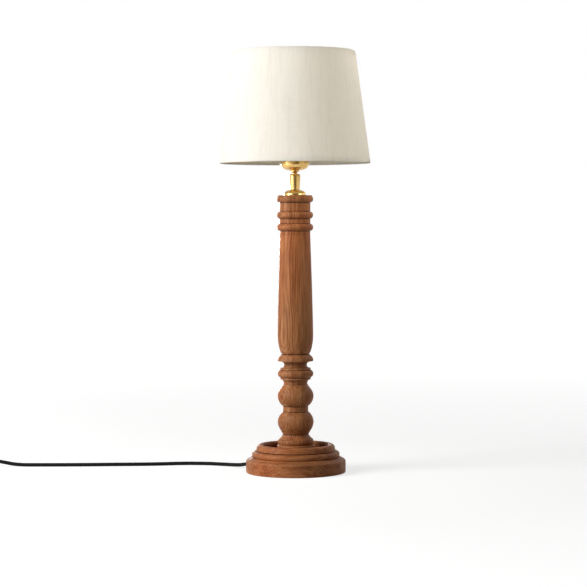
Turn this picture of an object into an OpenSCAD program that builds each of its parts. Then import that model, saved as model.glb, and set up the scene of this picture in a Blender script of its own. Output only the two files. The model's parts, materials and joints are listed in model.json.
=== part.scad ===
// Turned wooden table lamp on a dished plinth, with a brass ball-joint holder,
// a tapered linen shade and a cloth-covered lead. Millimetres, +Z up.
// The origin is the centre of the felt pad's underside.

/* [Plinth] */
// Radius of the plinth's lowest tier
plinth_r = 82.5; // [81:0.5:92]
// Height of the lowest tier above the felt, up to where its sloping shelf ends
lower_tier_h = 24.4; // [22:0.1:28]
// How far the shelf slopes down to the lowest tier's edge
shelf_slope = 3.2; // [1:0.1:7]
// Radius of the middle tier's bead
middle_tier_r = 72.6; // [71:0.2:76]
// Height of the middle tier
middle_tier_h = 10.4; // [8:0.1:14]
// Radius of the rim's outer edge
rim_r = 64.6; // [63:0.2:68]
// Height of the rim above the middle tier
rim_h = 10.6; // [9:0.1:14]
// Width of the rounded rim
rim_w = 10.5; // [8:0.5:12]
// Depth of the trough below the rim's crest
trough_depth = 20; // [12:0.5:22]
// Radius of the boss that the column stands on
boss_r = 30.8; // [30.6:0.1:34]
// How far the boss stands above the rim's crest
boss_rise = -0.4; // [-2:0.2:4]
// Thickness of the felt pad
felt_t = 1.2; // [1:0.1:2]
// How far the felt pad lies inside the plinth's edge
felt_inset = 4; // [2:0.5:6]
// Gap between the plinth's foot and the table
foot_gap = 0.4; // [0.2:0.1:0.8]

/* [Column foot and balls] */
// Radius of the ring at the column's foot
foot_ring_r = 29.7; // [28:0.1:30.5]
// Height of the foot ring
foot_ring_h = 8.8; // [5:0.1:10]
// Height of the flare above the foot ring
foot_flare_h = 8.7; // [7:0.1:14]
// Radius of the waist above the flare
foot_waist_r = 21.4; // [19:0.1:25]
// Largest radius of the two balls
ball_r = 29.7; // [27:0.1:32]
// Height of each ball's half that faces a waist
ball_long_h = 20; // [16:0.2:24]
// Height of each ball's half that faces the band
ball_short_h = 16.6; // [14:0.2:22]
// Radius of the plain band between the balls
band_r = 20.8; // [18:0.2:24]
// Height of the band between the balls
band_h = 10.2; // [6:0.2:14]
// Radius of the waist above the upper ball
ball_waist_r = 19.5; // [17:0.1:23]

/* [Column ring and flange] */
// Height of the cove below the ring
ring_cove_h = 7.2; // [5:0.2:10]
// Radius of the two flat fillets beside the ring's bead
ring_fillet_r = 25.1; // [24:0.1:27]
// Height of each fillet
ring_fillet_h = 3.6; // [1.4:0.2:5]
// Radius of the ring's bead
ring_bead_r = 29.5; // [28:0.1:32]
// Height of the ring's bead
ring_bead_h = 11.5; // [10:0.1:16]
// Height of the cove above the ring
upper_cove_h = 5.7; // [5:0.1:9]
// Radius of the waist below the flange
flange_waist_r = 18.8; // [17:0.1:22]
// Height of the hollow under the flange
flange_hollow_h = 5.7; // [5:0.1:9]
// Radius of the flange's sharp lower edge
flange_r = 29.4; // [28:0.1:32]
// Height of the flange's rounded top
flange_h = 11.7; // [8:0.1:15]

/* [Column shaft] */
// Radius of the crease where the shaft meets the flange
shaft_foot_r = 22.5; // [21:0.1:26]
// Largest radius of the shaft
shaft_belly_r = 29.5; // [28:0.1:32]
// Height of the shaft's belly above the crease
shaft_belly_h = 32.1; // [24:0.1:40]
// Radius of the shaft's top
shaft_top_r = 25.1; // [24:0.1:28]
// Length of the shaft from its belly to its top
shaft_length = 171.2; // [120:0.2:260]
// Largest radius of the three top beads
top_bead_r = 30.1; // [28:0.1:33]
// Height of each top bead
top_bead_h = 11.6; // [9:0.2:16]
// Height of the lower band between beads
lower_band_h = 8.6; // [5:0.2:12]
// Height of the upper band between beads
upper_band_h = 15.2; // [8:0.2:18]

/* [Rod and fasteners] */
// Radius of the hollow threaded rod
rod_r = 5; // [4.8:0.1:5.5]
// Radius of the rod's bore
rod_bore_r = 3.75; // [3.7:0.05:3.9]
// Clearance round the rod in the wood
rod_clearance = 0.5; // [0.3:0.1:1.2]
// Thickness of the rod's hex nuts
nut_t = 4; // [3:0.5:5]
// Distance across the flats of the hex nuts
nut_af = 17; // [15:0.5:18]
// Radius of the washers under the wood
washer_r = 12; // [11:0.5:13]
// Thickness of the washers
washer_t = 1.2; // [1:0.1:2]

/* [Brass neck] */
// Radius of the domed collar
collar_r = 18.3; // [17.5:0.1:24]
// Height of the domed collar
collar_h = 9.2; // [9:0.2:13]
// Thickness of the collar's wall
collar_wall = 1.2; // [1:0.1:1.6]
// Radius at the foot of the socket barrel
barrel_foot_r = 7.9; // [7:0.1:9]
// Radius at the top of the socket barrel
barrel_top_r = 9.1; // [8.9:0.1:10.5]
// Height of the socket barrel under its cap
barrel_h = 21.3; // [19:0.1:28]
// Height of the screwed cap over the ball
cap_h = 4.5; // [4.4:0.1:5]
// Radius of the ball
joint_ball_r = 7; // [6.9:0.05:7.1]
// Clearance round the ball and on the rod's thread
running_clearance = 0.07; // [0.04:0.01:0.1]
// Radius of the neck above the ball
neck_r = 3.8; // [3.5:0.1:3.9]
// Height from the cap to the underside of the holder cup
neck_h = 5.3; // [4.8:0.1:9]
// Radius of the wire way through the ball
wire_way_r = 2.4; // [2.3:0.05:2.5]

/* [Lamp holder] */
// Radius of the holder cup's rim
cup_r = 23.4; // [23:0.1:26]
// Height of the cup's rounded bowl
bowl_h = 12.7; // [12:0.1:15]
// Height of the cup's straight rim above the bowl
cup_rim_h = 3; // [2:0.5:5]
// Thickness of the cup's wall
cup_wall = 1.2; // [1:0.1:1.4]
// Height of the plain sleeve between the cup and the shade seat
sleeve_h = 13.5; // [10:0.5:20]
// Radius of the threaded sleeve that carries the shade
sleeve_r = 19.75; // [19.5:0.05:20]
// Height of the threaded sleeve above the shade seat
thread_h = 18; // [16:0.5:22]
// Radius of the shade seat
seat_r = 23; // [22.5:0.1:25]
// Thickness of the shade seat
seat_t = 1.5; // [1:0.1:2]
// Inner radius of the screw shell
shell_r = 13.3; // [13.2:0.05:13.4]
// Thickness of the screw shell's sheet
shell_t = 0.4; // [0.3:0.1:0.5]

/* [Shade] */
// Outer radius of the shade's lower edge
shade_bottom_r = 124.5; // [115:0.5:150]
// Outer radius of the shade's upper edge
shade_top_r = 100; // [90:1:114]
// Height of the shade
shade_h = 183.8; // [160:0.1:210]
// How far the shade's lower edge hangs below its seat
shade_drop = 17.1; // [12:0.1:20]
// Thickness of the linen
linen_t = 0.5; // [0.4:0.1:0.8]
// Thickness of the stiff lining
liner_t = 0.8; // [0.6:0.1:1.2]
// Diameter of the wire rings
wire_d = 2.4; // [2:0.2:3]
// Diameter of the fitter's arms
arm_d = 3; // [2.6:0.2:4]
// Thickness of the fitter ring
fitter_t = 1.5; // [1.2:0.1:2]
// Outer radius of the fitter ring
fitter_r = 26; // [25.8:0.1:28]
// Outer radius of the shade nut
shade_nut_r = 25.4; // [24:0.1:25.6]
// Height of the shade nut
shade_nut_h = 8; // [6:0.5:10]

/* [Bulb] */
// Radius of the bulb's glass
bulb_r = 30; // [24:0.5:34]
// Height of the bulb's glass above its cap
bulb_glass_h = 82; // [76:1:95]
// Thickness of the glass
glass_t = 0.8; // [0.6:0.1:1]
// Radius of the bulb cap's thread crests
bulb_cap_r = 12.95; // [12.8:0.05:13]
// Height of the bulb's cap
bulb_cap_h = 22; // [20:0.5:24]

/* [Lead] */
// Diameter of the cloth-covered lead
lead_d = 6.2; // [6:0.1:6.3]
// Direction in which the lead leaves the plinth
exit_angle = 150; // [140:1:170]
// Height of the lead's way out of the plinth
exit_z = 7.5; // [7:0.1:8]
// Length of the gland inside the plinth
gland_in = 14; // [10:0.5:18]
// Length of the gland's taper outside the plinth
gland_out = 8; // [6:0.5:12]

/* [Cord switch] */
// Length of the switch's housing
switch_length = 62; // [56:1:76]
// Width of the switch's housing
switch_w = 28; // [24:0.5:32]
// Height of the switch's housing
switch_h = 19; // [18.5:0.5:24]
// Thickness of the housing's wall
switch_wall = 2; // [1.5:0.1:2.5]
// Length of the rocker
rocker_length = 22; // [18:0.5:24]
// Width of the rocker
rocker_w = 10; // [8:0.5:12]
// How far the rocker tips from one side to the other, in degrees
rocker_throw = 14; // [8:1:15]
// Length of the switch's strain reliefs
switch_relief = 14; // [12:1:14]

/* [Plug] */
// Width of the plug's body
plug_w = 35.3; // [34:0.1:36]
// Thickness of the plug's body
plug_t = 13.7; // [13:0.1:14.4]
// Length of the plug's body
plug_length = 35; // [32:0.5:40]
// Distance between the plug's pins
pin_spacing = 19; // [18:0.1:20]
// Diameter of the plug's pins
pin_d = 4; // [3.9:0.05:4.1]
// Length of the plug's pins
pin_length = 19; // [18:0.5:20]
// Length of the plug's strain relief
plug_relief_length = 22; // [20:1:30]

/* [Hidden] */

$fn = 72;

// Colours
wood = [0.57, 0.36, 0.22];
brass = [0.83, 0.68, 0.36];
steel = [0.72, 0.72, 0.7];
black = [0.1, 0.1, 0.1];
linen = [0.93, 0.91, 0.86];

// Small gap between pieces that are only seated on each other
seat_gap = 0.2;
// Steps in each curve of a turned outline
turn_steps = 9;

// Heights of the plinth's tiers
shelf_z = felt_t + lower_tier_h;
crease_z = shelf_z + middle_tier_h;
crest_z = crease_z + rim_h;
trough_z = crest_z - trough_depth;
boss_z = crest_z + boss_rise;
edge_bevel = 0.8;
tier_round = 3.8;
boss_round = 2.4;
rim_outer_w = 0.57 * rim_w;
rim_round = 5;
trough_fillet = 3;

// Underside of the plinth: a recess for the lead, its bend and the nut
lead_r = lead_d / 2;
lead_bend_r = 4 * lead_d;
recess_r = 42;
recess_z = exit_z + lead_r + 0.4;
bend_way_r = lead_bend_r - 2.6;
bend_way_z = 19;
nut_way_r = washer_r + 1.5;
nut_way_z = exit_z + lead_bend_r + 1.7;
rod_bottom_z = nut_way_z - washer_t - nut_t - 1.8;
wood_bore_r = rod_r + rod_clearance;

// Heights along the column
flare_z = boss_z + foot_ring_h;
waist_z = flare_z + foot_flare_h;
low_ball_z = waist_z + ball_long_h;
band_z = low_ball_z + ball_short_h;
band_top_z = band_z + band_h;
high_ball_z = band_top_z + ball_short_h;
ring_cove_z = high_ball_z + ball_long_h;
ring_z = ring_cove_z + ring_cove_h;
ring_bead_z = ring_z + ring_fillet_h;
ring_top_z = ring_bead_z + ring_bead_h;
upper_cove_z = ring_top_z + ring_fillet_h;
hollow_z = upper_cove_z + upper_cove_h;
flange_z = hollow_z + flange_hollow_h;
shaft_z = flange_z + flange_h;
belly_z = shaft_z + shaft_belly_h;
shaft_top_z = belly_z + shaft_length;
shaft_groove_z = shaft_top_z - 6;
low_band_z = shaft_top_z + top_bead_h;
mid_bead_z = low_band_z + lower_band_h;
high_band_z = mid_bead_z + top_bead_h;
top_bead_z = high_band_z + upper_band_h;
column_top_z = top_bead_z + top_bead_h;
top_bead_peak_z = top_bead_z + 0.4 * top_bead_h;
bead_edge = 4.7;
bead_power = 1.2;
shaft_groove_depth = 0.4;
foot_edge = 1.6;

// Heights of the brass neck
collar_top_z = column_top_z + collar_h;
barrel_z = collar_top_z + seat_gap;
cap_z = barrel_z + barrel_h;
ball_z = cap_z - 1;
cap_top_z = cap_z + cap_h;
cup_z = cap_top_z + neck_h;
rod_top_z = barrel_z + 9;
lead_way_r = 4.2;
ball_socket_r = joint_ball_r + running_clearance;
ball_cut = 5.6;
mouth_rise = 4.5;
stem_flange_r = 7.6;
stem_flange_t = 1.4;
stem_thread_r = 4.9;
stem_nut_t = 2.6;
stem_nut_r = 7.8;
stem_top_z = cup_z + cup_wall + stem_nut_t + 0.4;

// Heights and radii inside the lamp holder
rim_z = cup_z + bowl_h;
cup_top_z = rim_z + cup_rim_h;
block_z = rim_z - 5.5;
block_top_z = rim_z + 4;
seat_z = cup_top_z + sleeve_h;
sleeve_top_z = seat_z + thread_h;
contact_z = block_top_z + 4;
bulb_cap_top_z = contact_z + 4 + bulb_cap_h;
cup_power = 2.6;
wire_gap = 0.1;
wire_r = 0.95;
wire_y = wire_r + wire_gap;
terminal_y = 8;
terminal_screw_r = 1.3;
block_r = 18;
block_rim_r = cup_r - cup_wall - 0.8;
insulator_r = sleeve_r - 2.3;

// The shade hangs on its fitter ring, which lies on the seat
shade_z = seat_z - shade_drop;
shade_top_z = shade_z + shade_h;
shade_lean = (shade_bottom_r - shade_top_r) / shade_h;
fold_h = 7;
arm_r = arm_d / 2;
arm_count = 3;
arm_start_angle = 90;
fitter_bore_r = sleeve_r + 0.35;

// Turned outlines, from the lower end to the upper
function bulge_up(z_peak, z_end, r_peak, r_end, power) = [
    for (i = [0:turn_steps]) let (u = sin(90 * i / turn_steps))
        [r_end + (r_peak - r_end) * pow(1 - u * u, power), z_peak + (z_end - z_peak) * u]
];
function bulge_down(z_peak, z_end, r_peak, r_end, power) = [
    for (i = [turn_steps:-1:0]) bulge_up(z_peak, z_end, r_peak, r_end, power)[i]
];
function bead(z, h, r_edge, r_bead) = [
    for (i = [0:turn_steps]) let (a = 180 * i / turn_steps - 90)
        [r_edge + (r_bead - r_edge) * pow(cos(a), bead_power), z + h / 2 * (1 + sin(a))]
];
function cove_out(z, h, r_low, r_high) = [
    for (i = [0:turn_steps]) let (a = 90 * i / turn_steps)
        [r_low + (r_high - r_low) * (1 - cos(a)), z + h * sin(a)]
];
function cove_in(z, h, r_low, r_high) = [
    for (i = [turn_steps:-1:0]) let (a = 90 * i / turn_steps)
        [r_high + (r_low - r_high) * (1 - cos(a)), z + h * (1 - sin(a))]
];
function fade(z, h, r_low, r_high, power) = [
    for (i = [0:turn_steps]) let (u = i / turn_steps)
        [r_high + (r_low - r_high) * pow(1 - u, power), z + h * u]
];
function taper(z, h, r_low, r_high, power) = [
    for (i = [1:turn_steps]) let (u = i / turn_steps)
        [r_low + (r_high - r_low) * pow(u, power), z + h * u]
];
// Quarter of a rounded edge, from its side to its top
function round_over(r, z, w, h) = [
    for (i = [0:turn_steps]) let (a = 90 * i / turn_steps)
        [r - w * (1 - cos(a)), z - h * (1 - sin(a))]
];
// Upper quarter of a rounded box, a circle where power is 2
function dome(r, z, h, power, r_stop) = [
    for (i = [0:2 * turn_steps])
        let (u = sin(90 * i / (2 * turn_steps)), out = r * pow(1 - pow(u, power), 1 / power))
        if (out > r_stop) [out, z + h * u]
];

module turned(outline, bore_r) {
    last = len(outline) - 1;
    rotate_extrude()
        polygon(concat([[bore_r, outline[0][1]]], outline, [[bore_r, outline[last][1]]]));
}

module ring(r_out, r_in, z, h) {
    translate([0, 0, z])
        difference() {
            cylinder(r = r_out, h = h);
            translate([0, 0, -1])
                cylinder(r = r_in, h = h + 2);
        }
}

module hex_nut(z, bore_r) {
    translate([0, 0, z])
        difference() {
            cylinder(r = nut_af / sqrt(3), h = nut_t, $fn = 6);
            translate([0, 0, -1])
                cylinder(r = bore_r, h = nut_t + 2);
        }
}

// A tube round a line of points, closed at both ends. Each ring stands square
// to the line; its first corner points down, or away from keep where keep is given.
function unit(v) = v / norm(v);
function heading(line, i) =
    unit(line[min(i + 1, len(line) - 1)] - line[max(i - 1, 0)]);
function ring_at(line, i, r, sides, keep) =
    let (
        along = heading(line, i),
        across = is_undef(keep) ? unit(cross(along, [0, 0, 1])) : keep,
        up = cross(across, along)
    )
    [for (k = [0:sides - 1]) let (a = 360 * k / sides)
        line[i] - r * cos(a) * up + r * sin(a) * across];

module tube(line, r, sides, keep = undef) {
    n = len(line);
    points = [for (i = [0:n - 1]) each ring_at(line, i, r, sides, keep)];
    walls = [
        for (i = [0:n - 2], k = [0:sides - 1])
            let (
                a = i * sides + k,
                b = i * sides + (k + 1) % sides
            )
            each [[a, b, b + sides], [a, b + sides, a + sides]]
    ];
    start = [for (k = [1:sides - 2]) [0, k + 1, k]];
    far = (n - 1) * sides;
    end = [for (k = [1:sides - 2]) [far, far + k, far + k + 1]];
    polyhedron(points = points, faces = concat(walls, start, end));
}

// A smooth line through a route's points, with steps rings between two of them
function between(a, b, c, d, t) =
    0.5 * (2 * b + (c - a) * t + (2 * a - 5 * b + 4 * c - d) * t * t
        + (3 * b - a - 3 * c + d) * t * t * t);
function smooth(route, steps) =
    let (n = len(route))
    [for (i = [0:n - 2], s = [0:steps - 1])
        between(
            i == 0 ? 2 * route[0] - route[1] : route[i - 1],
            route[i],
            route[i + 1],
            i == n - 2 ? 2 * route[n - 1] - route[n - 2] : route[i + 2],
            s / steps
        ),
        route[n - 1]];
function line_length(line) =
    [for (i = [1:len(line) - 1]) norm(line[i] - line[i - 1])] * [for (i = [1:len(line) - 1]) 1];

// The lead's route. It leaves the plinth at the back left, drops to the table,
// runs left to the switch, and what is left of it lies in a coil beside the switch.
exit_way = [cos(exit_angle), sin(exit_angle), 0];
gland_tip = (plinth_r + gland_out) * exit_way + [0, 0, exit_z];
switch_x = -561;
switch_y = 84;
switch_mid_z = 9.5;
switch_half = switch_length / 2 + switch_relief;
run_route = [
    gland_tip,
    gland_tip + 6 * exit_way,
    [-93, 54, 5.6],
    [-103, 64, 4.4],
    [-114, 75, 3.5],
    [-128, 84, 3.1],
    [-146, 91.5, 3.1],
    [-165, 95, 3.1],
    [-185, 96, 3.1],
    [-206, 94, 3.1],
    [-228, 90, 3.1],
    [-252, 87, 3.1],
    [-280, 85.5, 3.1],
    [-310, 84.5, 3.1],
    [-340, 83, 3.1],
    [-372, 82, 3.1],
    [-404, 82, 3.1],
    [-436, 82.5, 3.1],
    [-462, 83.5, 3.2],
    [-480, 84, 4.6],
    [-496, 84, 7.6],
    [-508, switch_y, switch_mid_z],
    [switch_x + switch_half, switch_y, switch_mid_z]
];
coil_x = -601;
coil_y = 20;
coil_turns = 5;
coil_out_r = 43;
coil_step = 6.8;
coil_layer = 6.75;
coil_climb = 0.5;
coil_rings = 24;
coil_start_x = coil_x - coil_out_r;
tail_route = [
    [switch_x - switch_half, switch_y, switch_mid_z],
    [-613, 84, 9.2],
    [-621, 82.6, 7.6],
    [-630, 77.5, 5.2],
    [-637.5, 69, 3.7],
    [-642, 58.5, 3.1],
    [coil_start_x, 46, 3.1],
    [coil_start_x, 36, 3.1],
    [coil_start_x, coil_y + lead_d, 3.1]
];
plug_tip_y = coil_y - 45;
plug_mid_z = plug_t / 2;
coil_top_z = 3.1 + coil_layer;
end_route = [
    [coil_start_x, coil_y - lead_d, coil_top_z],
    [coil_start_x, coil_y - 16, coil_top_z],
    [coil_start_x, coil_y - 27, 8.4],
    [coil_start_x, coil_y - 37, plug_mid_z],
    [coil_start_x, plug_tip_y, plug_mid_z]
];

// The coil's loops spiral in on the table, climb a layer where they turn back,
// and spiral out again on top
function climb(u) = let (v = min(max(u, 0), 1)) v * v * (3 - 2 * v);
function coil_point(t) =
    let (
        r = coil_out_r - coil_step * min(t, coil_turns - t),
        a = 180 + 360 * t,
        lift = climb((t - coil_turns / 2) / coil_climb + 0.5)
    )
    [coil_x + r * cos(a), coil_y + r * sin(a), 3.1 + coil_layer * lift];
coil_loops = [for (i = [0:coil_turns * coil_rings]) coil_point(i / coil_rings)];
coil_line = concat(
    [[coil_start_x, coil_y + lead_d, 3.1]],
    coil_loops,
    [[coil_start_x, coil_y - lead_d, coil_top_z]]
);
coil_gap = min([
    for (i = [0:len(coil_loops) - 1], j = [i + coil_rings / 2:1:len(coil_loops) - 1])
        norm(coil_loops[i] - coil_loops[j])
]) - lead_d;
echo(coil_gap = coil_gap);

run_line = smooth(run_route, 2);
tail_line = smooth(tail_route, 1);
end_line = smooth(end_route, 2);
echo(lead_length = line_length(run_line) + 2 * switch_half + line_length(tail_line)
    + line_length(coil_line) + line_length(end_line) + plug_relief_length);

// Plinth and felt

plinth_outline = concat(
    [[plinth_r - edge_bevel, foot_gap], [plinth_r, foot_gap + edge_bevel]],
    round_over(plinth_r, shelf_z - shelf_slope, tier_round, tier_round),
    [[middle_tier_r + 1.2, shelf_z]],
    bulge_down(shelf_z + 0.5 * middle_tier_h, shelf_z + 0.4, middle_tier_r, middle_tier_r - 2.4, 0.5),
    bulge_up(shelf_z + 0.5 * middle_tier_h, crease_z - 0.3, middle_tier_r, rim_r + 0.9, 0.5),
    [[rim_r + 0.2, crease_z]],
    [[rim_r + 1, crease_z + 1.2]],
    round_over(rim_r, crest_z, rim_outer_w, rim_round),
    [for (i = [turn_steps:-1:0]) let (a = 90 * i / turn_steps)
        [rim_r - rim_w + (rim_w - rim_outer_w) * (1 - cos(a)), crest_z - rim_round * (1 - sin(a))]],
    [for (i = [0:turn_steps]) let (a = 90 * i / turn_steps)
        [rim_r - rim_w - trough_fillet * (1 - cos(a)), trough_z + trough_fillet * (1 - sin(a))]],
    [for (i = [turn_steps:-1:0]) let (a = 90 * i / turn_steps)
        [boss_r + trough_fillet * (1 - cos(a)), trough_z + trough_fillet * (1 - sin(a))]],
    round_over(boss_r, boss_z, boss_round, boss_round)
);

module plinth() {
    color(wood)
        difference() {
            turned(plinth_outline, wood_bore_r);
            translate([0, 0, foot_gap - 1])
                cylinder(r = plinth_r - felt_inset + seat_gap, h = felt_t - foot_gap + 1);
            translate([0, 0, felt_t - 1])
                cylinder(r = recess_r, h = recess_z - felt_t + 1);
            translate([0, 0, recess_z - 1])
                cylinder(r = bend_way_r, h = bend_way_z - recess_z + 1);
            translate([0, 0, bend_way_z - 1])
                cylinder(r = nut_way_r, h = nut_way_z - bend_way_z + 1);
            gland_way();
            clamp_holes();
        }
}

module gland_way() {
    rotate([0, 0, exit_angle])
        translate([0, 0, exit_z])
            rotate([0, 90, 0]) {
                cylinder(r = lead_r + 0.6, h = plinth_r);
                translate([0, 0, plinth_r - gland_in])
                    cylinder(r = gland_r + 0.1, h = gland_in + 1);
            }
}

module felt_pad() {
    color([0.16, 0.15, 0.14])
        cylinder(r = plinth_r - felt_inset, h = felt_t);
}

// Rod, nuts and washers

module threaded_rod() {
    color(steel)
        ring(rod_r, rod_bore_r, rod_bottom_z, rod_top_z - rod_bottom_z);
}

module bottom_washer() {
    color(steel)
        ring(washer_r, wood_bore_r, nut_way_z - washer_t, washer_t);
}

module bottom_nut() {
    color(steel)
        hex_nut(nut_way_z - washer_t - nut_t, rod_r);
}

module top_washer() {
    color(steel)
        ring(washer_r, wood_bore_r, column_top_z, washer_t);
}

module top_nut() {
    color(steel)
        hex_nut(column_top_z + washer_t, rod_r);
}

// Column

column_outline = concat(
    bead(boss_z, foot_ring_h, foot_ring_r - foot_edge, foot_ring_r),
    fade(flare_z, foot_flare_h, foot_ring_r - 0.8, foot_waist_r, 1.55),
    bulge_down(low_ball_z, waist_z, ball_r, foot_waist_r, 1.3),
    bulge_up(low_ball_z, band_z, ball_r, band_r + 0.6, 0.85),
    [[band_r, band_z + 0.3], [band_r, band_top_z - 0.3]],
    bulge_down(high_ball_z, band_top_z, ball_r, band_r + 0.6, 0.8),
    bulge_up(high_ball_z, ring_cove_z, ball_r, ball_waist_r, 1.48),
    cove_out(ring_cove_z, ring_cove_h, ball_waist_r, ring_fillet_r - 0.8),
    [[ring_fillet_r, ring_z], [ring_fillet_r, ring_bead_z]],
    bead(ring_bead_z, ring_bead_h, ring_fillet_r + 0.6, ring_bead_r),
    [[ring_fillet_r, ring_top_z], [ring_fillet_r, upper_cove_z]],
    cove_in(upper_cove_z, upper_cove_h, ring_fillet_r - 0.8, flange_waist_r),
    cove_out(hollow_z, flange_hollow_h, flange_waist_r, flange_r - 0.6),
    [[flange_r, flange_z + 0.4]],
    bulge_up(flange_z + 1.6, shaft_z, flange_r + 0.2, shaft_foot_r, 1),
    bulge_down(belly_z, shaft_z, shaft_belly_r, shaft_foot_r, 0.7),
    taper(belly_z, shaft_groove_z - shaft_groove_depth - belly_z, shaft_belly_r, shaft_top_r, 1.25),
    [[shaft_top_r - shaft_groove_depth, shaft_groove_z], [shaft_top_r, shaft_groove_z + shaft_groove_depth]],
    [[shaft_top_r, shaft_top_z]],
    bead(shaft_top_z, top_bead_h, top_bead_r - bead_edge, top_bead_r),
    bead(mid_bead_z, top_bead_h, top_bead_r - bead_edge, top_bead_r - 0.2),
    bulge_down(top_bead_peak_z, top_bead_z, top_bead_r, top_bead_r - bead_edge, 0.5),
    bulge_up(top_bead_peak_z, column_top_z - 0.4, top_bead_r, top_bead_r - 2.2, 1),
    [[top_bead_r - 2.8, column_top_z]]
);

module column() {
    color(wood)
        turned(column_outline, wood_bore_r);
}

// Brass neck

collar_outline = dome(collar_r, column_top_z, collar_h, cup_power, barrel_foot_r + 0.6);
collar_hollow = dome(collar_r - collar_wall, column_top_z - 0.01, collar_h - collar_wall, cup_power, rod_r);

module top_collar() {
    color(brass)
        rotate_extrude()
            difference() {
                polygon(concat(
                    [[rod_r + 0.1, column_top_z]],
                    collar_outline,
                    [[barrel_foot_r, collar_top_z], [rod_r + 0.1, collar_top_z]]
                ));
                polygon(concat(
                    [[0, column_top_z - 0.01]],
                    collar_hollow,
                    [[0, collar_top_z - collar_wall]]
                ));
            }
}

// Arc of the ball's seat between two heights above the ball's centre
function seat_arc(low, high, steps) = [
    for (i = [0:steps]) let (d = low + (high - low) * i / steps)
        [sqrt(ball_socket_r * ball_socket_r - d * d), ball_z + d]
];
seat_low = -sqrt(ball_socket_r * ball_socket_r - lead_way_r * lead_way_r);

module socket_barrel() {
    color(brass)
        rotate_extrude()
            polygon(concat(
                [[rod_r + running_clearance, barrel_z], [barrel_foot_r, barrel_z]],
                [[barrel_top_r, cap_z]],
                [[ball_socket_r, cap_z]],
                [for (i = [8:-1:0]) seat_arc(seat_low, 0, 8)[i]],
                [[lead_way_r, rod_top_z + seat_gap], [rod_r + running_clearance, rod_top_z + seat_gap]]
            ));
}

module socket_cap() {
    cap_round = 2.6;
    color(brass)
        rotate_extrude()
            polygon(concat(
                seat_arc(cap_z - ball_z, mouth_rise, 6),
                [[6, cap_top_z]],
                [for (i = [6:-1:0]) let (a = 90 * i / 6)
                    [barrel_top_r - cap_round * (1 - cos(a)), cap_top_z - 3.9 * (1 - sin(a))]],
                [[barrel_top_r, cap_z]]
            ));
}

module ball_stem() {
    neck_join = sqrt(joint_ball_r * joint_ball_r - neck_r * neck_r);
    cut_r = sqrt(joint_ball_r * joint_ball_r - ball_cut * ball_cut);
    neck_low_z = ball_z + neck_join + 0.3;
    flange_low_z = cup_z - stem_flange_t;
    color(brass)
        rotate_extrude()
            polygon(concat(
                [[cut_r - 0.5, ball_z - ball_cut]],
                [for (i = [0:16]) let (d = -ball_cut + (ball_cut + neck_join) * i / 16)
                    [sqrt(joint_ball_r * joint_ball_r - d * d), ball_z + d]],
                cove_out(neck_low_z, flange_low_z - neck_low_z, neck_r, stem_flange_r),
                [[stem_flange_r, cup_z], [stem_thread_r, cup_z], [stem_thread_r, stem_top_z]],
                [[wire_way_r, stem_top_z], [wire_way_r, ball_z - 1.5]]
            ));
}

module stem_nut() {
    color(steel)
        ring(stem_nut_r, stem_thread_r, cup_z + cup_wall, stem_nut_t);
}

// Lamp holder

// A bowl's outline from a flat round its axis up to its rim
function reversed(list) = [for (i = [len(list) - 1:-1:0]) list[i]];
function bowl(r, h, flat_r) =
    reversed([for (p = dome(r, 0, h, cup_power, flat_r)) [p[0], rim_z - p[1]]]);

module holder_cup() {
    inner_r = cup_r - cup_wall;
    hole_r = stem_thread_r + 0.1;
    seat_flat_r = stem_nut_r + 0.6;
    color(brass)
        rotate_extrude()
            polygon(concat(
                [[hole_r, cup_z], [stem_flange_r, cup_z]],
                bowl(cup_r, bowl_h, stem_flange_r),
                [[cup_r, cup_top_z], [inner_r, cup_top_z]],
                reversed(bowl(inner_r, bowl_h - cup_wall, seat_flat_r)),
                [[seat_flat_r, cup_z + cup_wall], [hole_r, cup_z + cup_wall]]
            ));
}

module terminal_block() {
    color([0.93, 0.92, 0.88])
        difference() {
            rotate_extrude()
                polygon([
                    [2, block_z],
                    [block_r, block_z],
                    [block_r, block_z + 2],
                    [block_rim_r, block_z + 2],
                    [block_rim_r, rim_z],
                    [insulator_r, rim_z],
                    [insulator_r, block_top_z],
                    [2, block_top_z]
                ]);
            for (side = [-1, 1]) {
                translate([0, side * terminal_y, block_z - 1])
                    cylinder(r = wire_r + 0.2, h = 4.5);
                translate([0, side * (terminal_y + 4.5), block_z - 1])
                    cylinder(r = terminal_screw_r + 0.05, h = 6);
            }
        }
}

module terminal_screws() {
    color(brass)
        for (side = [-1, 1])
            translate([0, side * (terminal_y + 4.5), block_z])
                difference() {
                    union() {
                        translate([0, 0, -1.1])
                            cylinder(r = 2.2, h = 1);
                        translate([0, 0, -0.5])
                            cylinder(r = terminal_screw_r, h = 5);
                    }
                    translate([-3, -0.3, -2])
                        cube([6, 0.6, 1.5]);
                }
}

module upper_leads() {
    lead_bend_z = (stem_top_z + block_z) / 2;
    color([0.25, 0.35, 0.6])
        for (side = [-1, 1])
            tube(
                [
                    [0, side * wire_y, ball_z + lead_break / 2],
                    [0, side * wire_y, stem_top_z - 0.3],
                    [0, side * (wire_y + 0.3), stem_top_z + 0.7],
                    [0, side * (wire_y + 1.4), lead_bend_z],
                    [0, side * (terminal_y - 1.6), lead_bend_z],
                    [0, side * (terminal_y - 0.4), lead_bend_z + 0.5],
                    [0, side * terminal_y, block_z],
                    [0, side * terminal_y, block_z + 3]
                ],
                wire_r, 8, [1, 0, 0]
            );
}

module lower_leads() {
    color([0.45, 0.3, 0.2])
        for (side = [-1, 1])
            translate([0, side * wire_y, sheath_top_z])
                cylinder(r = wire_r, h = ball_z - lead_break / 2 - sheath_top_z);
}

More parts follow.
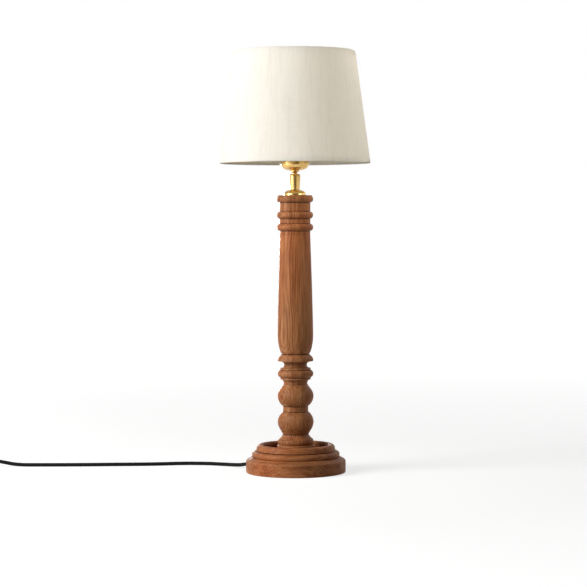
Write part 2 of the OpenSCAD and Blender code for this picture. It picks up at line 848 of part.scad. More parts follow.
module centre_contact() {
    strip_t = 0.5;
    rise = contact_z - block_top_z - 0.3;
    color(brass)
        translate([0, 2, block_top_z])
            rotate([90, 0, 0])
                linear_extrude(height = 4)
                    polygon([
                        [-10, 0], [-3.5, 0], [0.5, rise - strip_t], [3, rise - strip_t],
                        [3, rise], [0.3, rise], [-3.7, strip_t], [-10, strip_t]
                    ]);
}

module side_contact() {
    color(brass)
        translate([8.5, -2.5, block_top_z])
            cube([shell_r + shell_t - 8.5, 5, 0.5]);
}

module insulator_tube() {
    color([0.93, 0.92, 0.88])
        ring(insulator_r, shell_r + shell_t + 0.3, block_top_z, sleeve_top_z - 1.5 - block_top_z);
}

module screw_shell() {
    color(brass)
        ring(shell_r + shell_t, shell_r, block_top_z + 0.7, sleeve_top_z - 3 - block_top_z);
}

module holder_sleeve() {
    thread_pitch = 2;
    root_r = sleeve_r - 0.6;
    waist_r = sleeve_r + 0.9;
    turns = floor((thread_h - 2) / thread_pitch);
    color(brass)
        rotate_extrude()
            polygon(concat(
                [[insulator_r + 0.3, rim_z], [cup_r - cup_wall - 0.1, rim_z]],
                [[cup_r - cup_wall - 0.1, cup_top_z], [cup_r, cup_top_z]],
                [[cup_r, cup_top_z + 1], [cup_r - 0.8, cup_top_z + 1.8]],
                [[waist_r, cup_top_z + 2.4], [waist_r, seat_z - seat_t - 2]],
                [[seat_r, seat_z - seat_t], [seat_r, seat_z], [root_r, seat_z]],
                [for (i = [0:turns - 1]) each [
                    [root_r, seat_z + 0.6 + i * thread_pitch],
                    [sleeve_r, seat_z + 1.2 + i * thread_pitch],
                    [sleeve_r, seat_z + 1.8 + i * thread_pitch],
                    [root_r, seat_z + 2.4 + i * thread_pitch]
                ]],
                [[root_r, sleeve_top_z], [insulator_r + 0.3, sleeve_top_z]]
            ));
}

// Shade

// Radius of the linen's outside at a height
function linen_r(z) = shade_bottom_r - shade_lean * (z - shade_z);
linen_in = linen_t * sqrt(1 + shade_lean * shade_lean);
liner_in = linen_in + liner_t * sqrt(1 + shade_lean * shade_lean);
bottom_wire_z = shade_z + linen_t + 0.1 + wire_d / 2;
top_wire_z = shade_top_z - linen_t - 0.1 - wire_d / 2;
// Distance from the linen's outside to the middle of a wire ring
wire_in = liner_in + 0.1 + wire_d / 2 * sqrt(1 + shade_lean * shade_lean);

module fitter_ring() {
    color(steel)
        ring(fitter_r, fitter_bore_r, seat_z, fitter_t);
}

module between_points(a, b, r) {
    way = b - a;
    translate(a)
        rotate([0, acos(way[2] / norm(way)), atan2(way[1], way[0])])
            cylinder(r = r, h = norm(way), $fn = 32);
}

module arm(r, gap) {
    inner = [fitter_r + gap, 0, seat_z + fitter_t / 2];
    outer = [linen_r(bottom_wire_z) - wire_in - wire_d / 2 - gap, 0, bottom_wire_z + 0.4];
    between_points(inner, outer, r);
}

module fitter_arms() {
    color(steel)
        for (i = [0:arm_count - 1])
            rotate([0, 0, arm_start_angle + 360 * i / arm_count])
                arm(arm_r, 0.1);
}

module bottom_wire() {
    color(steel)
        rotate_extrude()
            translate([linen_r(bottom_wire_z) - wire_in, bottom_wire_z])
                circle(d = wire_d, $fn = 32);
}

module top_wire() {
    color(steel)
        rotate_extrude()
            translate([linen_r(top_wire_z) - wire_in, top_wire_z])
                circle(d = wire_d, $fn = 32);
}

module shade_liner() {
    low = shade_z + linen_t;
    high = shade_top_z - linen_t;
    color([0.97, 0.96, 0.93])
        rotate_extrude()
            polygon([
                [linen_r(low) - liner_in, low],
                [linen_r(low) - linen_in, low],
                [linen_r(high) - linen_in, high],
                [linen_r(high) - liner_in, high]
            ]);
}

// The linen is folded inwards round each wire ring
module shade_linen() {
    fold_in = liner_in + wire_d + 0.5;
    low = shade_z + linen_t;
    high = shade_top_z - linen_t;
    color(linen)
        difference() {
            rotate_extrude()
                polygon([
                    [linen_r(shade_z) - fold_in - linen_in, shade_z],
                    [linen_r(shade_z), shade_z],
                    [linen_r(shade_top_z), shade_top_z],
                    [linen_r(shade_top_z) - fold_in - linen_in, shade_top_z],
                    [linen_r(high - fold_h) - fold_in - linen_in, high - fold_h],
                    [linen_r(high - fold_h) - fold_in, high - fold_h],
                    [linen_r(high) - fold_in, high],
                    [linen_r(high) - linen_in, high],
                    [linen_r(low) - linen_in, low],
                    [linen_r(low) - fold_in, low],
                    [linen_r(low + fold_h) - fold_in, low + fold_h],
                    [linen_r(low + fold_h) - fold_in - linen_in, low + fold_h]
                ]);
            for (i = [0:arm_count - 1])
                rotate([0, 0, arm_start_angle + 360 * i / arm_count])
                    intersection() {
                        arm(arm_r + 0.4, 0.1);
                        cylinder(r = linen_r(shade_z) - fold_in + 0.4, h = shade_top_z);
                    }
        }
}

module shade_nut() {
    low = seat_z + fitter_t;
    rib_count = 30;
    rib_r = 0.7;
    color(brass)
        difference() {
            union() {
                translate([0, 0, low])
                    cylinder(r = shade_nut_r - 0.6, h = shade_nut_h);
                for (i = [0:rib_count - 1])
                    rotate([0, 0, 360 * i / rib_count])
                        translate([shade_nut_r - rib_r, 0, low + 1])
                            cylinder(r = rib_r, h = shade_nut_h - 2, $fn = 16);
            }
            translate([0, 0, low - 1])
                cylinder(r = sleeve_r + 0.3, h = shade_nut_h + 2);
        }
}

// Bulb

glass_top_z = bulb_cap_top_z + bulb_glass_h;
glass_mid_z = glass_top_z - bulb_r;
glass_neck_r = bulb_cap_r + 0.2;
glass_turn = -38;
function glass_outline(t) = concat(
    [[bulb_cap_r - 1.8 - t, bulb_cap_top_z - 6], [bulb_cap_r - 1.8 - t, bulb_cap_top_z + 0.2 + t]],
    smooth([
        [glass_neck_r - t, bulb_cap_top_z + 1.2],
        [glass_neck_r + 1.3 - t, bulb_cap_top_z + 8],
        [(glass_neck_r + bulb_r * cos(glass_turn)) / 2 - 0.4 - t, (bulb_cap_top_z + 8 + glass_mid_z) / 2 - 7]
    ], 4),
    [for (i = [0:16]) let (a = glass_turn + (90 - glass_turn) * i / 16)
        [(bulb_r - t) * cos(a), glass_mid_z + (bulb_r - t) * sin(a)]]
);

module bulb_glass() {
    color([0.9, 0.93, 0.93, 0.4])
        rotate_extrude()
            polygon(concat(glass_outline(0), reversed(glass_outline(glass_t))));
}

module bulb_cap() {
    pitch = 3.63;
    low = contact_z + 4;
    count = 8 * floor(bulb_cap_h / pitch);
    depth = 0.7;
    color(steel)
        rotate_extrude()
            polygon(concat(
                [[bulb_cap_r - 1.6, low], [bulb_cap_r - depth, low]],
                [for (i = [0:count])
                    [bulb_cap_r - depth / 2 * (1 + cos(45 * i)), low + 0.4 + i * pitch / 8]],
                [[bulb_cap_r - 0.3, bulb_cap_top_z], [bulb_cap_r - 1.6, bulb_cap_top_z]]
            ));
}

module bulb_insulator() {
    color(black)
        rotate_extrude()
            polygon([
                [3, contact_z + 1.2], [5.6, contact_z + 1.2], [bulb_cap_r - 1.2, contact_z + 3.8],
                [bulb_cap_r - 1.2, contact_z + 4], [bulb_cap_r - 1.8, contact_z + 4],
                [bulb_cap_r - 1.8, contact_z + 5.2],
                [3, contact_z + 5.2]
            ]);
}

module bulb_contact() {
    color(steel)
        rotate_extrude()
            polygon([
                [0, contact_z], [3.6, contact_z], [5, contact_z + 0.6], [5, contact_z + 1.2],
                [2.8, contact_z + 1.2], [2.8, contact_z + 3], [0, contact_z + 3]
            ]);
}

module bulb_mount() {
    flange = bulb_cap_r - 1.8 - glass_t - 0.2;
    color([0.9, 0.93, 0.93, 0.4])
        rotate_extrude()
            polygon([
                [0, bulb_cap_top_z - 5], [flange, bulb_cap_top_z - 5], [flange, bulb_cap_top_z - 4],
                [4, bulb_cap_top_z + 3], [2.6, bulb_cap_top_z + 8], [2.2, bulb_cap_top_z + 28],
                [0, bulb_cap_top_z + 30]
            ]);
}

module bulb_filaments() {
    low = bulb_cap_top_z + 14;
    high = bulb_cap_top_z + 50;
    color([0.95, 0.8, 0.4])
        for (i = [0:3])
            rotate([0, 0, 45 + 90 * i])
                between_points([3.8, 0, low], [9, 0, high], 1.1);
    color([0.95, 0.8, 0.4])
        ring(10.4, 7.4, high - 0.8, 1);
}

// Lead

gland_r = lead_r + 0.9;
gland_flange_r = lead_r + 1.8;
gland_flange_t = 0.9;
gland_tip_r = lead_r + 0.5;
sheath_top_z = rod_top_z - 4;
lead_break = 1.2;

module cord_gland() {
    color(black)
        rotate([0, 0, exit_angle])
            translate([0, 0, exit_z])
                rotate([0, 90, 0])
                    rotate_extrude()
                        polygon([
                            [lead_r + 0.05, plinth_r - gland_in],
                            [gland_r, plinth_r - gland_in],
                            [gland_r, plinth_r + 0.1],
                            [gland_flange_r, plinth_r + 0.1],
                            [gland_flange_r, plinth_r + gland_flange_t],
                            [gland_r + 0.2, plinth_r + gland_flange_t + 0.5],
                            [gland_tip_r, plinth_r + gland_out],
                            [lead_r + 0.05, plinth_r + gland_out]
                        ]);
}

clamp_x = 31;
clamp_y = 8.2;
clamp_screw_r = 1.5;
clamp_low_z = exit_z - lead_r - 1.4;

module clamp_holes() {
    rotate([0, 0, exit_angle])
        for (side = [-1, 1])
            translate([clamp_x, side * clamp_y, recess_z - 1])
                cylinder(r = clamp_screw_r + 0.05, h = 9);
}

module cord_clamp() {
    color(black)
        rotate([0, 0, exit_angle])
            difference() {
                translate([clamp_x - 4, -12, clamp_low_z])
                    cube([8, 24, recess_z - clamp_low_z]);
                translate([clamp_x - 5, -lead_r - 1, exit_z - lead_r - 0.1])
                    cube([10, 2 * lead_r + 2, recess_z]);
                for (side = [-1, 1])
                    translate([clamp_x, side * clamp_y, clamp_low_z - 1]) {
                        cylinder(r = clamp_screw_r + 0.05, h = recess_z + 1);
                        cylinder(r = 2.8, h = 2.6);
                    }
            }
}

module clamp_screws() {
    color(steel)
        rotate([0, 0, exit_angle])
            for (side = [-1, 1])
                translate([clamp_x, side * clamp_y, clamp_low_z])
                    difference() {
                        union() {
                            cylinder(r = 2.7, h = 1.6);
                            cylinder(r = clamp_screw_r, h = recess_z - clamp_low_z + 7);
                        }
                        translate([-3, -0.4, -1])
                            cube([6, 0.8, 1.8]);
                    }
}

// Inside, the lead runs along the plinth, turns up with a bend of four diameters
// and rises through the rod
module cord_inner() {
    turn = [
        for (i = [0:9]) let (a = 10 * i)
            (lead_bend_r * (1 - sin(a))) * exit_way + [0, 0, exit_z + lead_bend_r * (1 - cos(a))]
    ];
    color(black)
        tube(
            concat([gland_tip], turn, [[0, 0, sheath_top_z]]),
            lead_r, 12, [-exit_way[1], exit_way[0], 0]
        );
}

module cord_run() {
    color(black)
        tube(run_line, lead_r, 10);
}

module cord_tail() {
    color(black)
        tube(tail_line, lead_r, 10);
}

module cord_end() {
    color(black)
        tube(end_line, lead_r, 10);
}

module cord_coil() {
    color(black)
        tube(coil_line, lead_r, 6);
}

// Cord switch

// A long body with round ends from a half outline
module pill(middle, outline) {
    for (side = [-1, 1])
        translate([side * middle / 2, 0, 0])
            rotate_extrude()
                polygon(outline);
    rotate([90, 0, 90])
        linear_extrude(height = middle, center = true)
            polygon(concat(outline, [for (p = reversed(outline)) [-p[0], p[1]]]));
}

module at_switch() {
    translate([switch_x, switch_y, 0])
        children();
}

module relief_way() {
    for (side = [-1, 1])
        translate([0, 0, switch_mid_z])
            rotate([0, side * 90, 0]) {
                cylinder(r = core_way_r, h = switch_length / 2 + 1);
                translate([0, 0, switch_length / 2 - relief_seat])
                    cylinder(r = relief_base_r + 0.1, h = 10);
            }
}

switch_middle = switch_length - switch_w;
switch_r = switch_w / 2;
switch_round = 4;
seam_edge = 0.3;
core_way_r = 2.4;
relief_seat = 1.2;
relief_base_r = 5;
screw_x = switch_length / 2 - 11;
screw_y = switch_r - 6.4;
screw_post_r = 3;
pin_r = 1;
pivot_z = switch_h - 4.6;
rocker_gap = 0.4;
ear_t = 1.8;

module switch_posts(z, h) {
    for (side = [-1, 1])
        translate([side * screw_x, side * screw_y, z])
            cylinder(r = screw_post_r, h = h);
}

module switch_lower() {
    inner_r = switch_r - switch_wall;
    color(black)
        at_switch()
            difference() {
                union() {
                    difference() {
                        pill(switch_middle, concat(
                            [[0, 0], [switch_r - 3, 0]],
                            [[switch_r - 1.2, 0.8], [switch_r, 3], [switch_r, switch_mid_z - seam_edge]],
                            [[switch_r - seam_edge, switch_mid_z], [0, switch_mid_z]]
                        ));
                        pill(switch_middle, [
                            [0, switch_wall], [inner_r, switch_wall],
                            [inner_r, switch_mid_z + 1], [0, switch_mid_z + 1]
                        ]);
                    }
                    switch_posts(switch_wall / 2, switch_mid_z - switch_wall / 2);
                }
                relief_way();
                for (side = [-1, 1])
                    translate([side * screw_x, side * screw_y, -1]) {
                        cylinder(r = 1.35, h = switch_h);
                        cylinder(r = 2.6, h = 3);
                    }
            }
}

module switch_upper() {
    inner_r = switch_r - switch_wall;
    roof_z = switch_h - switch_wall;
    slot_y = rocker_w / 2 + rocker_gap;
    color(black)
        at_switch()
            difference() {
                union() {
                    difference() {
                        pill(switch_middle, concat(
                            [[0, switch_mid_z], [switch_r - seam_edge, switch_mid_z]],
                            [[switch_r, switch_mid_z + seam_edge]],
                            round_over(switch_r, switch_h, switch_round, switch_round),
                            [[0, switch_h]]
                        ));
                        pill(switch_middle, [
                            [0, switch_mid_z - 1], [inner_r, switch_mid_z - 1],
                            [inner_r, roof_z - 1.4], [inner_r - 1.6, roof_z], [0, roof_z]
                        ]);
                    }
                    switch_posts(switch_mid_z, roof_z - switch_mid_z + 0.5);
                    for (side = [-1, 1])
                        translate([-3, side * (slot_y + ear_t / 2) - ear_t / 2, pivot_z - 2.6])
                            cube([6, ear_t, roof_z - pivot_z + 3]);
                }
                translate([-rocker_length / 2 - 0.9, -slot_y, switch_mid_z])
                    cube([rocker_length + 1.8, 2 * slot_y, switch_h]);
                translate([0, switch_r, pivot_z])
                    rotate([90, 0, 0])
                        cylinder(r = pin_r + 0.04, h = switch_w);
                relief_way();
                for (side = [-1, 1])
                    translate([side * screw_x, side * screw_y, switch_mid_z - 1])
                        cylinder(r = 1.35, h = roof_z - switch_mid_z);
            }
}

module switch_screws() {
    color(steel)
        at_switch()
            for (side = [-1, 1])
                translate([side * screw_x, side * screw_y, 0.6])
                    difference() {
                        union() {
                            cylinder(r = 2.5, h = 1.3);
                            cylinder(r = 1.3, h = switch_h - 5);
                        }
                        translate([-3, -0.35, -1])
                            cube([6, 0.7, 1.6]);
                    }
}

module switch_pin() {
    half = rocker_w / 2 + rocker_gap + ear_t;
    color(steel)
        at_switch()
            translate([0, half, pivot_z])
                rotate([90, 0, 0])
                    cylinder(r = pin_r, h = 2 * half);
}

module switch_terminals() {
    color(brass)
        at_switch()
            for (side = [-1, 1])
                translate([side * 10 - 3, -3.5, switch_wall])
                    cube([6, 7, 4.6]);
}

module switch_reliefs() {
    color(black)
        at_switch()
            for (side = [-1, 1])
                translate([0, 0, switch_mid_z])
                    rotate([0, side * 90, 0])
                        rotate_extrude()
                            polygon([
                                [core_way_r, switch_length / 2 - relief_seat],
                                [relief_base_r, switch_length / 2 - relief_seat],
                                [relief_base_r, switch_length / 2 + 1],
                                [lead_r + 0.5, switch_half],
                                [core_way_r, switch_half]
                            ]);
}

// The rocker rests tipped to one side, the side where the lamp is off
module at_rocker() {
    at_switch()
        translate([0, 0, pivot_z])
            rotate([0, -rocker_throw / 2, 0])
                children();
}

module rocker() {
    half = rocker_length / 2;
    color([0.2, 0.2, 0.2])
        at_rocker()
            translate([0, rocker_w / 2, 0])
                rotate([90, 0, 0])
                    linear_extrude(height = rocker_w)
                        difference() {
                            polygon([
                                [-4, -3], [4, -3], [half, 1], [half, 5.6],
                                [half / 2, 4.4], [0, 4], [-half / 2, 4.4], [-half, 5.6], [-half, 1]
                            ]);
                            circle(r = pin_r + 0.06);
                        }
}

module rocker_bridge() {
    color(brass)
        at_rocker()
            translate([-4, -2.5, -3.6])
                cube([8, 5, 0.6]);
}

// Plug

module at_plug() {
    translate([coil_start_x, plug_tip_y - plug_relief_length - plug_length, 0])
        children();
}

plug_neck_w = 13;
plug_shoulder = 9;
pin_sunk = 5;
pin_root_r = pin_d / 2 - 0.3;

module plug_body() {
    steps = 12;
    edge = plug_w / 2;
    side = [
        for (i = [0:steps]) let (u = i / steps)
            [
                plug_neck_w / 2 + (edge - plug_neck_w / 2) * (1 + cos(180 * u)) / 2,
                plug_shoulder + (plug_length - plug_shoulder) * u
            ]
    ];
    color(black)
        at_plug()
            difference() {
                intersection() {
                    linear_extrude(height = plug_t)
                        polygon(concat(
                            [[-edge + 1, 0], [edge - 1, 0], [edge, 1]],
                            side,
                            [for (p = reversed(side)) [-p[0], p[1]]],
                            [[-edge, 1]]
                        ));
                    translate([0, plug_length, plug_mid_z])
                        rotate([90, 0, 0])
                            linear_extrude(height = plug_length)
                                union() {
                                    square([plug_w - plug_t, plug_t], center = true);
                                    for (s = [-1, 1])
                                        translate([s * (plug_w - plug_t) / 2, 0])
                                            circle(d = plug_t);
                                }
                }
                for (s = [-1, 1])
                    translate([s * pin_spacing / 2, pin_sunk, plug_mid_z])
                        rotate([90, 0, 0])
                            cylinder(r = pin_root_r + 0.05, h = pin_sunk + 1);
            }
}

module plug_pins() {
    color(steel)
        at_plug()
            for (s = [-1, 1])
                translate([s * pin_spacing / 2, 0, plug_mid_z])
                    rotate([90, 0, 0])
                        rotate_extrude()
                            polygon([
                                [0, -pin_sunk], [pin_root_r, -pin_sunk], [pin_root_r, 0],
                                [pin_d / 2, 0], [pin_d / 2, pin_length - 1],
                                [pin_d / 2 - 0.8, pin_length - 0.2], [pin_d / 2 - 1.4, pin_length],
                                [0, pin_length]
                            ]);
}

module plug_relief() {
    rib = 0.5;
    count = 5;
    base_r = plug_neck_w / 2 - 0.5;
    tip_r = lead_r + 0.5;
    color(black)
        at_plug()
            translate([0, plug_length, plug_mid_z])
                rotate([-90, 0, 0])
                    rotate_extrude()
                        polygon(concat(
                            [[0, 0], [base_r, 0]],
                            [for (i = [0:count - 1])
                                let (y = 3 + i * 3.4, r = base_r + (tip_r - base_r) * y / plug_relief_length)
                                each [[r, y], [r - rib, y + 0.3], [r - rib, y + 1.2], [r, y + 1.5]]],
                            [[tip_r, plug_relief_length], [0, plug_relief_length]]
                        ));
}

plinth();
felt_pad();
column();
threaded_rod();
bottom_washer();
bottom_nut();
top_washer();
top_nut();
top_collar();
cord_gland();
cord_clamp();
clamp_screws();
cord_inner();
lower_leads();
cord_run();
cord_tail();
cord_coil();
cord_end();
switch_lower();
switch_upper();
switch_screws();
switch_pin();
switch_terminals();
switch_reliefs();
plug_body();
plug_pins();
plug_relief();
rocker();
rocker_bridge();
socket_barrel();
socket_cap();
ball_stem();
stem_nut();
holder_cup();
terminal_block();
terminal_screws();
upper_leads();
centre_contact();
side_contact();
insulator_tube();
screw_shell();
holder_sleeve();
fitter_ring();
fitter_arms();
bottom_wire();
top_wire();
shade_liner();
shade_linen();
shade_nut();
bulb_glass();
bulb_cap();
bulb_insulator();
bulb_contact();
bulb_mount();
bulb_filaments();
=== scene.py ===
import json
import math
from collections import Counter

import bpy
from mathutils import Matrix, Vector


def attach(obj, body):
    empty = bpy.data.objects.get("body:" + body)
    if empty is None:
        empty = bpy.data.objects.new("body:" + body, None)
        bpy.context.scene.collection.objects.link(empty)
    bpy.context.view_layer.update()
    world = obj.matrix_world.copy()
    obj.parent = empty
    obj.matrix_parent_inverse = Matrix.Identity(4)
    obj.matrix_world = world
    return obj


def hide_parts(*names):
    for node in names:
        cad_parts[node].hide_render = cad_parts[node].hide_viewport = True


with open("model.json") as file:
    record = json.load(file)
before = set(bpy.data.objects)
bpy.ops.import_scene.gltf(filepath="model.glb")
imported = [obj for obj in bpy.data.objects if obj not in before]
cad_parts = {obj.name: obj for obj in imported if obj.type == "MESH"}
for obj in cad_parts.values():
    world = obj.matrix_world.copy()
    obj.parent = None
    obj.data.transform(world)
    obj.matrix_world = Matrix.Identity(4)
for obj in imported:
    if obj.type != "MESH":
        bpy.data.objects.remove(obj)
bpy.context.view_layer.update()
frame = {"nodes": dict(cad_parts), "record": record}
nodes = frame["nodes"]
MM = 0.001


def add_object(name, data, place=(0, 0, 0), turn=(0, 0, 0)):
    made = bpy.data.objects.new(name, data)
    made.location = place
    made.rotation_euler = turn
    bpy.context.scene.collection.objects.link(made)
    return made


# Camera, fitted to the photo

FOCAL_LENGTH = 119.6
SENSOR_WIDTH = 36
CAMERA_REACH = 50
CAMERA_HEIGHT = 0.4174
CAMERA_DISTANCE = 3.218
CAMERA_SIDE = -0.0025
CAMERA_TILT = 2.16
CAMERA_ROLL = 0.2


def make_camera():
    data = bpy.data.cameras.new("camera")
    data.lens = FOCAL_LENGTH
    data.sensor_width = SENSOR_WIDTH
    data.clip_end = CAMERA_REACH
    place = (CAMERA_SIDE, -CAMERA_DISTANCE, CAMERA_HEIGHT)
    turn = (math.radians(90 - CAMERA_TILT), math.radians(CAMERA_ROLL), 0)
    bpy.context.scene.camera = add_object("camera", data, place, turn)


# Shader nodes

MIX_FACTOR, MIX_A, MIX_B, MIX_RESULT = 0, 6, 7, 2


class Tree:
    """A node tree whose nodes are added by short calls."""

    def __init__(self, tree):
        self.tree = tree

    def node(self, kind, inputs=None, **settings):
        made = self.tree.nodes.new(kind)
        for key, value in settings.items():
            setattr(made, key, value)
        for key, value in (inputs or {}).items():
            self.put(made.inputs[key], value)
        return made

    def put(self, socket, value):
        if isinstance(value, bpy.types.NodeSocket):
            self.tree.links.new(value, socket)
        else:
            socket.default_value = value

    def math(self, operation, a, b=0.0, clamp=False):
        inputs = {0: a, 1: b}
        return self.node("ShaderNodeMath", inputs, operation=operation, use_clamp=clamp).outputs[0]

    def total(self, *terms):
        """The sum of some values, each times its weight."""
        parts = [self.math("MULTIPLY", value, weight) for value, weight in terms]
        result = parts[0]
        for part in parts[1:]:
            result = self.math("ADD", result, part)
        return result

    def fit(self, value, low, high, to_low=0.0, to_high=1.0):
        """A value spread from low and high to two others, and held between them."""
        inputs = {"Value": value, 1: low, 2: high, 3: to_low, 4: to_high}
        return self.node("ShaderNodeMapRange", inputs).outputs["Result"]

    def mix(self, factor, a, b, blend="MIX"):
        a, b = ((*colour, 1) if isinstance(colour, tuple) else colour for colour in (a, b))
        inputs = {MIX_FACTOR: factor, MIX_A: a, MIX_B: b}
        made = self.node("ShaderNodeMix", inputs, data_type="RGBA", blend_type=blend)
        return made.outputs[MIX_RESULT]

    def ray_is(self, *kinds):
        """1 for rays of these kinds."""
        path = self.node("ShaderNodeLightPath")
        result = path.outputs[kinds[0]]
        for kind in kinds[1:]:
            result = self.math("MAXIMUM", result, path.outputs[kind])
        return result


class Shader(Tree):
    """A material with its surface and its patterns."""

    def __init__(self, name):
        self.material = bpy.data.materials.new(name)
        self.material.use_nodes = True
        super().__init__(self.material.node_tree)
        self.surface = self.tree.nodes["Principled BSDF"]
        self.output = self.tree.nodes["Material Output"]

    def set(self, **values):
        for key, value in values.items():
            self.put(self.surface.inputs[key.replace("_", " ")], value)

    def join(self, kind, inputs, other):
        """Puts the surface on the output together with another shader."""
        inputs = {**inputs, "Shader": self.surface.outputs[0]}
        made = self.node(kind, inputs)
        self.put(made.inputs[-1], other.outputs[0])
        self.put(self.output.inputs["Surface"], made.outputs[0])

    def let_through(self, share, colour):
        """Lets a share of the light come through from behind, in a colour."""
        through = self.node("ShaderNodeBsdfTranslucent", {"Color": colour})
        self.join("ShaderNodeMixShader", {"Fac": share}, through)

    def place(self):
        """Where a point is on its object, in metres."""
        return self.node("ShaderNodeTexCoord").outputs["Object"]

    def map_of(self, name):
        return self.node("ShaderNodeUVMap", uv_map=name).outputs["UV"]

    def attribute(self, name):
        return self.node("ShaderNodeAttribute", attribute_name=name).outputs["Fac"]

    def scaled(self, vector, scale, turn=(0, 0, 0), shift=(0, 0, 0)):
        inputs = {"Vector": vector, "Scale": scale, "Rotation": turn, "Location": shift}
        return self.node("ShaderNodeMapping", inputs).outputs["Vector"]

    def noise(self, vector, density, detail=2, rough=0.5, distortion=0.0, turn=(0, 0, 0)):
        """Noise with about density spots in a metre, one number or one for each axis."""
        scale = density if isinstance(density, tuple) else (density,) * 3
        inputs = {
            "Vector": self.scaled(vector, scale, turn),
            "Scale": 1.0,
            "Detail": detail,
            "Roughness": rough,
            "Distortion": distortion,
        }
        return self.node("ShaderNodeTexNoise", inputs).outputs["Fac"]

    def wave(self, vector, scale, bend, detail, detail_scale, detail_rough=0.5, **settings):
        """Soft stripes or rings, bent out of true."""
        inputs = {
            "Vector": vector,
            "Scale": scale,
            "Distortion": bend,
            "Detail": detail,
            "Detail Scale": detail_scale,
            "Detail Roughness": detail_rough,
        }
        made = self.node("ShaderNodeTexWave", inputs, wave_profile="SIN", **settings)
        return made.outputs["Fac"]

    def ramp(self, factor, stops):
        """The colour at a factor, between stops of a position and a colour."""
        made = self.node("ShaderNodeValToRGB", {"Fac": factor})
        points = made.color_ramp.elements
        while len(points) < len(stops):
            points.new(0.5)
        for point, (position, colour) in zip(points, stops):
            point.position = position
            point.color = (*colour, 1)
        return made.outputs["Color"]

    def bump(self, height, distance, strength):
        inputs = {"Height": height, "Distance": distance, "Strength": strength}
        return self.node("ShaderNodeBump", inputs).outputs["Normal"]


def linear(red, green, blue):
    """A colour given in the 0 to 255 values of a screen."""

    def one(value):
        value /= 255
        return value / 12.92 if value <= 0.04045 else ((value + 0.055) / 1.055) ** 2.4

    return (one(red), one(green), one(blue))


# Materials. Distances are in metres, so a density of 1000 has a spot in a millimetre.

WOOD_TONES = [
    (0.30, linear(89, 44, 20)),
    (0.46, linear(135, 82, 46)),
    (0.60, linear(165, 111, 70)),
    (0.80, linear(194, 145, 102)),
]
WOOD_REDDISH = (0.66, 0.36, 0.22)
WOOD_WORN = linear(196, 148, 106)
# Dark brown painted into the grooves as shade.
WOOD_GROOVE_SHADE = linear(44, 22, 12)
FIGURE_SHARE = 0.62
FIBRE_SHARE = 0.42
WORN_SHARE = 0.55
GROOVE_SHADE_SHARE = 0.78
WOOD_RELIEF = 0.3 * MM
OILED_SHINE = 0.15
YEAR_RINGS = 95.0
COLUMN_TREE = (0.062, 0.041, 0)
PLINTH_TREE = (0.01, 0.13, 0)
PLINTH_SHIFT = (0.03, 0.02, 0)
GRAIN_TURNS = {"z": (0, 0, 0), "x": (0, math.radians(90), 0)}

BRASS = linear(220, 184, 116)
BRASS_DARK = linear(184, 140, 66)
STEEL = linear(205, 205, 203)
STEEL_DARK = linear(170, 170, 168)
BULB_CAP = linear(215, 215, 212)
BULB_CAP_DARK = linear(190, 190, 188)
BRUSHED_RELIEF = 0.01 * MM
BULB_CAP_RELIEF = 0.008 * MM

PLASTIC_RELIEF = 0.1 * MM

FELT_DARK = linear(30, 28, 26)
FELT_PALE = linear(72, 68, 62)
FELT_RELIEF = 0.4 * MM

LINEN_TONES = [
    (0.30, linear(228, 227, 224)),
    (0.46, linear(247, 247, 246)),
    (0.62, linear(252, 252, 252)),
]
# A slightly darker painted shade in the gaps of the weave.
LINEN_GAP_SHADE = linear(212, 208, 198)
LINEN_GLOW = linear(252, 246, 233)
LINEN_THROUGH = 0.46
LINEN_THREADS = 330.0
LINEN_RELIEF = 0.22 * MM

LINING_DARK = linear(240, 239, 234)
LINING_PALE = linear(249, 248, 245)
LINING_THROUGH = 0.92
LINING_RELIEF = 0.05 * MM

BRAID_PITCH = 2.4 * MM
BRAID_STRANDS = 8
# The braid is painted darker in its hollows, as shade, and paler on its crests.
BRAID_HOLLOW_SHADE = linear(4, 4, 4)
BRAID_CREST_TONE = linear(22, 22, 22)
BRAID_RELIEF = 0.35 * MM
BRAID_SHINE = 0.15

GLASS_TINT = (0.985, 0.99, 0.985)
GLASS_BENDING = 1.45
GLASS_RELIEF = 0.2 * MM

FILAMENT_DARK = linear(222, 170, 62)
FILAMENT_PALE = linear(244, 205, 104)
FILAMENT_RELIEF = 0.1 * MM


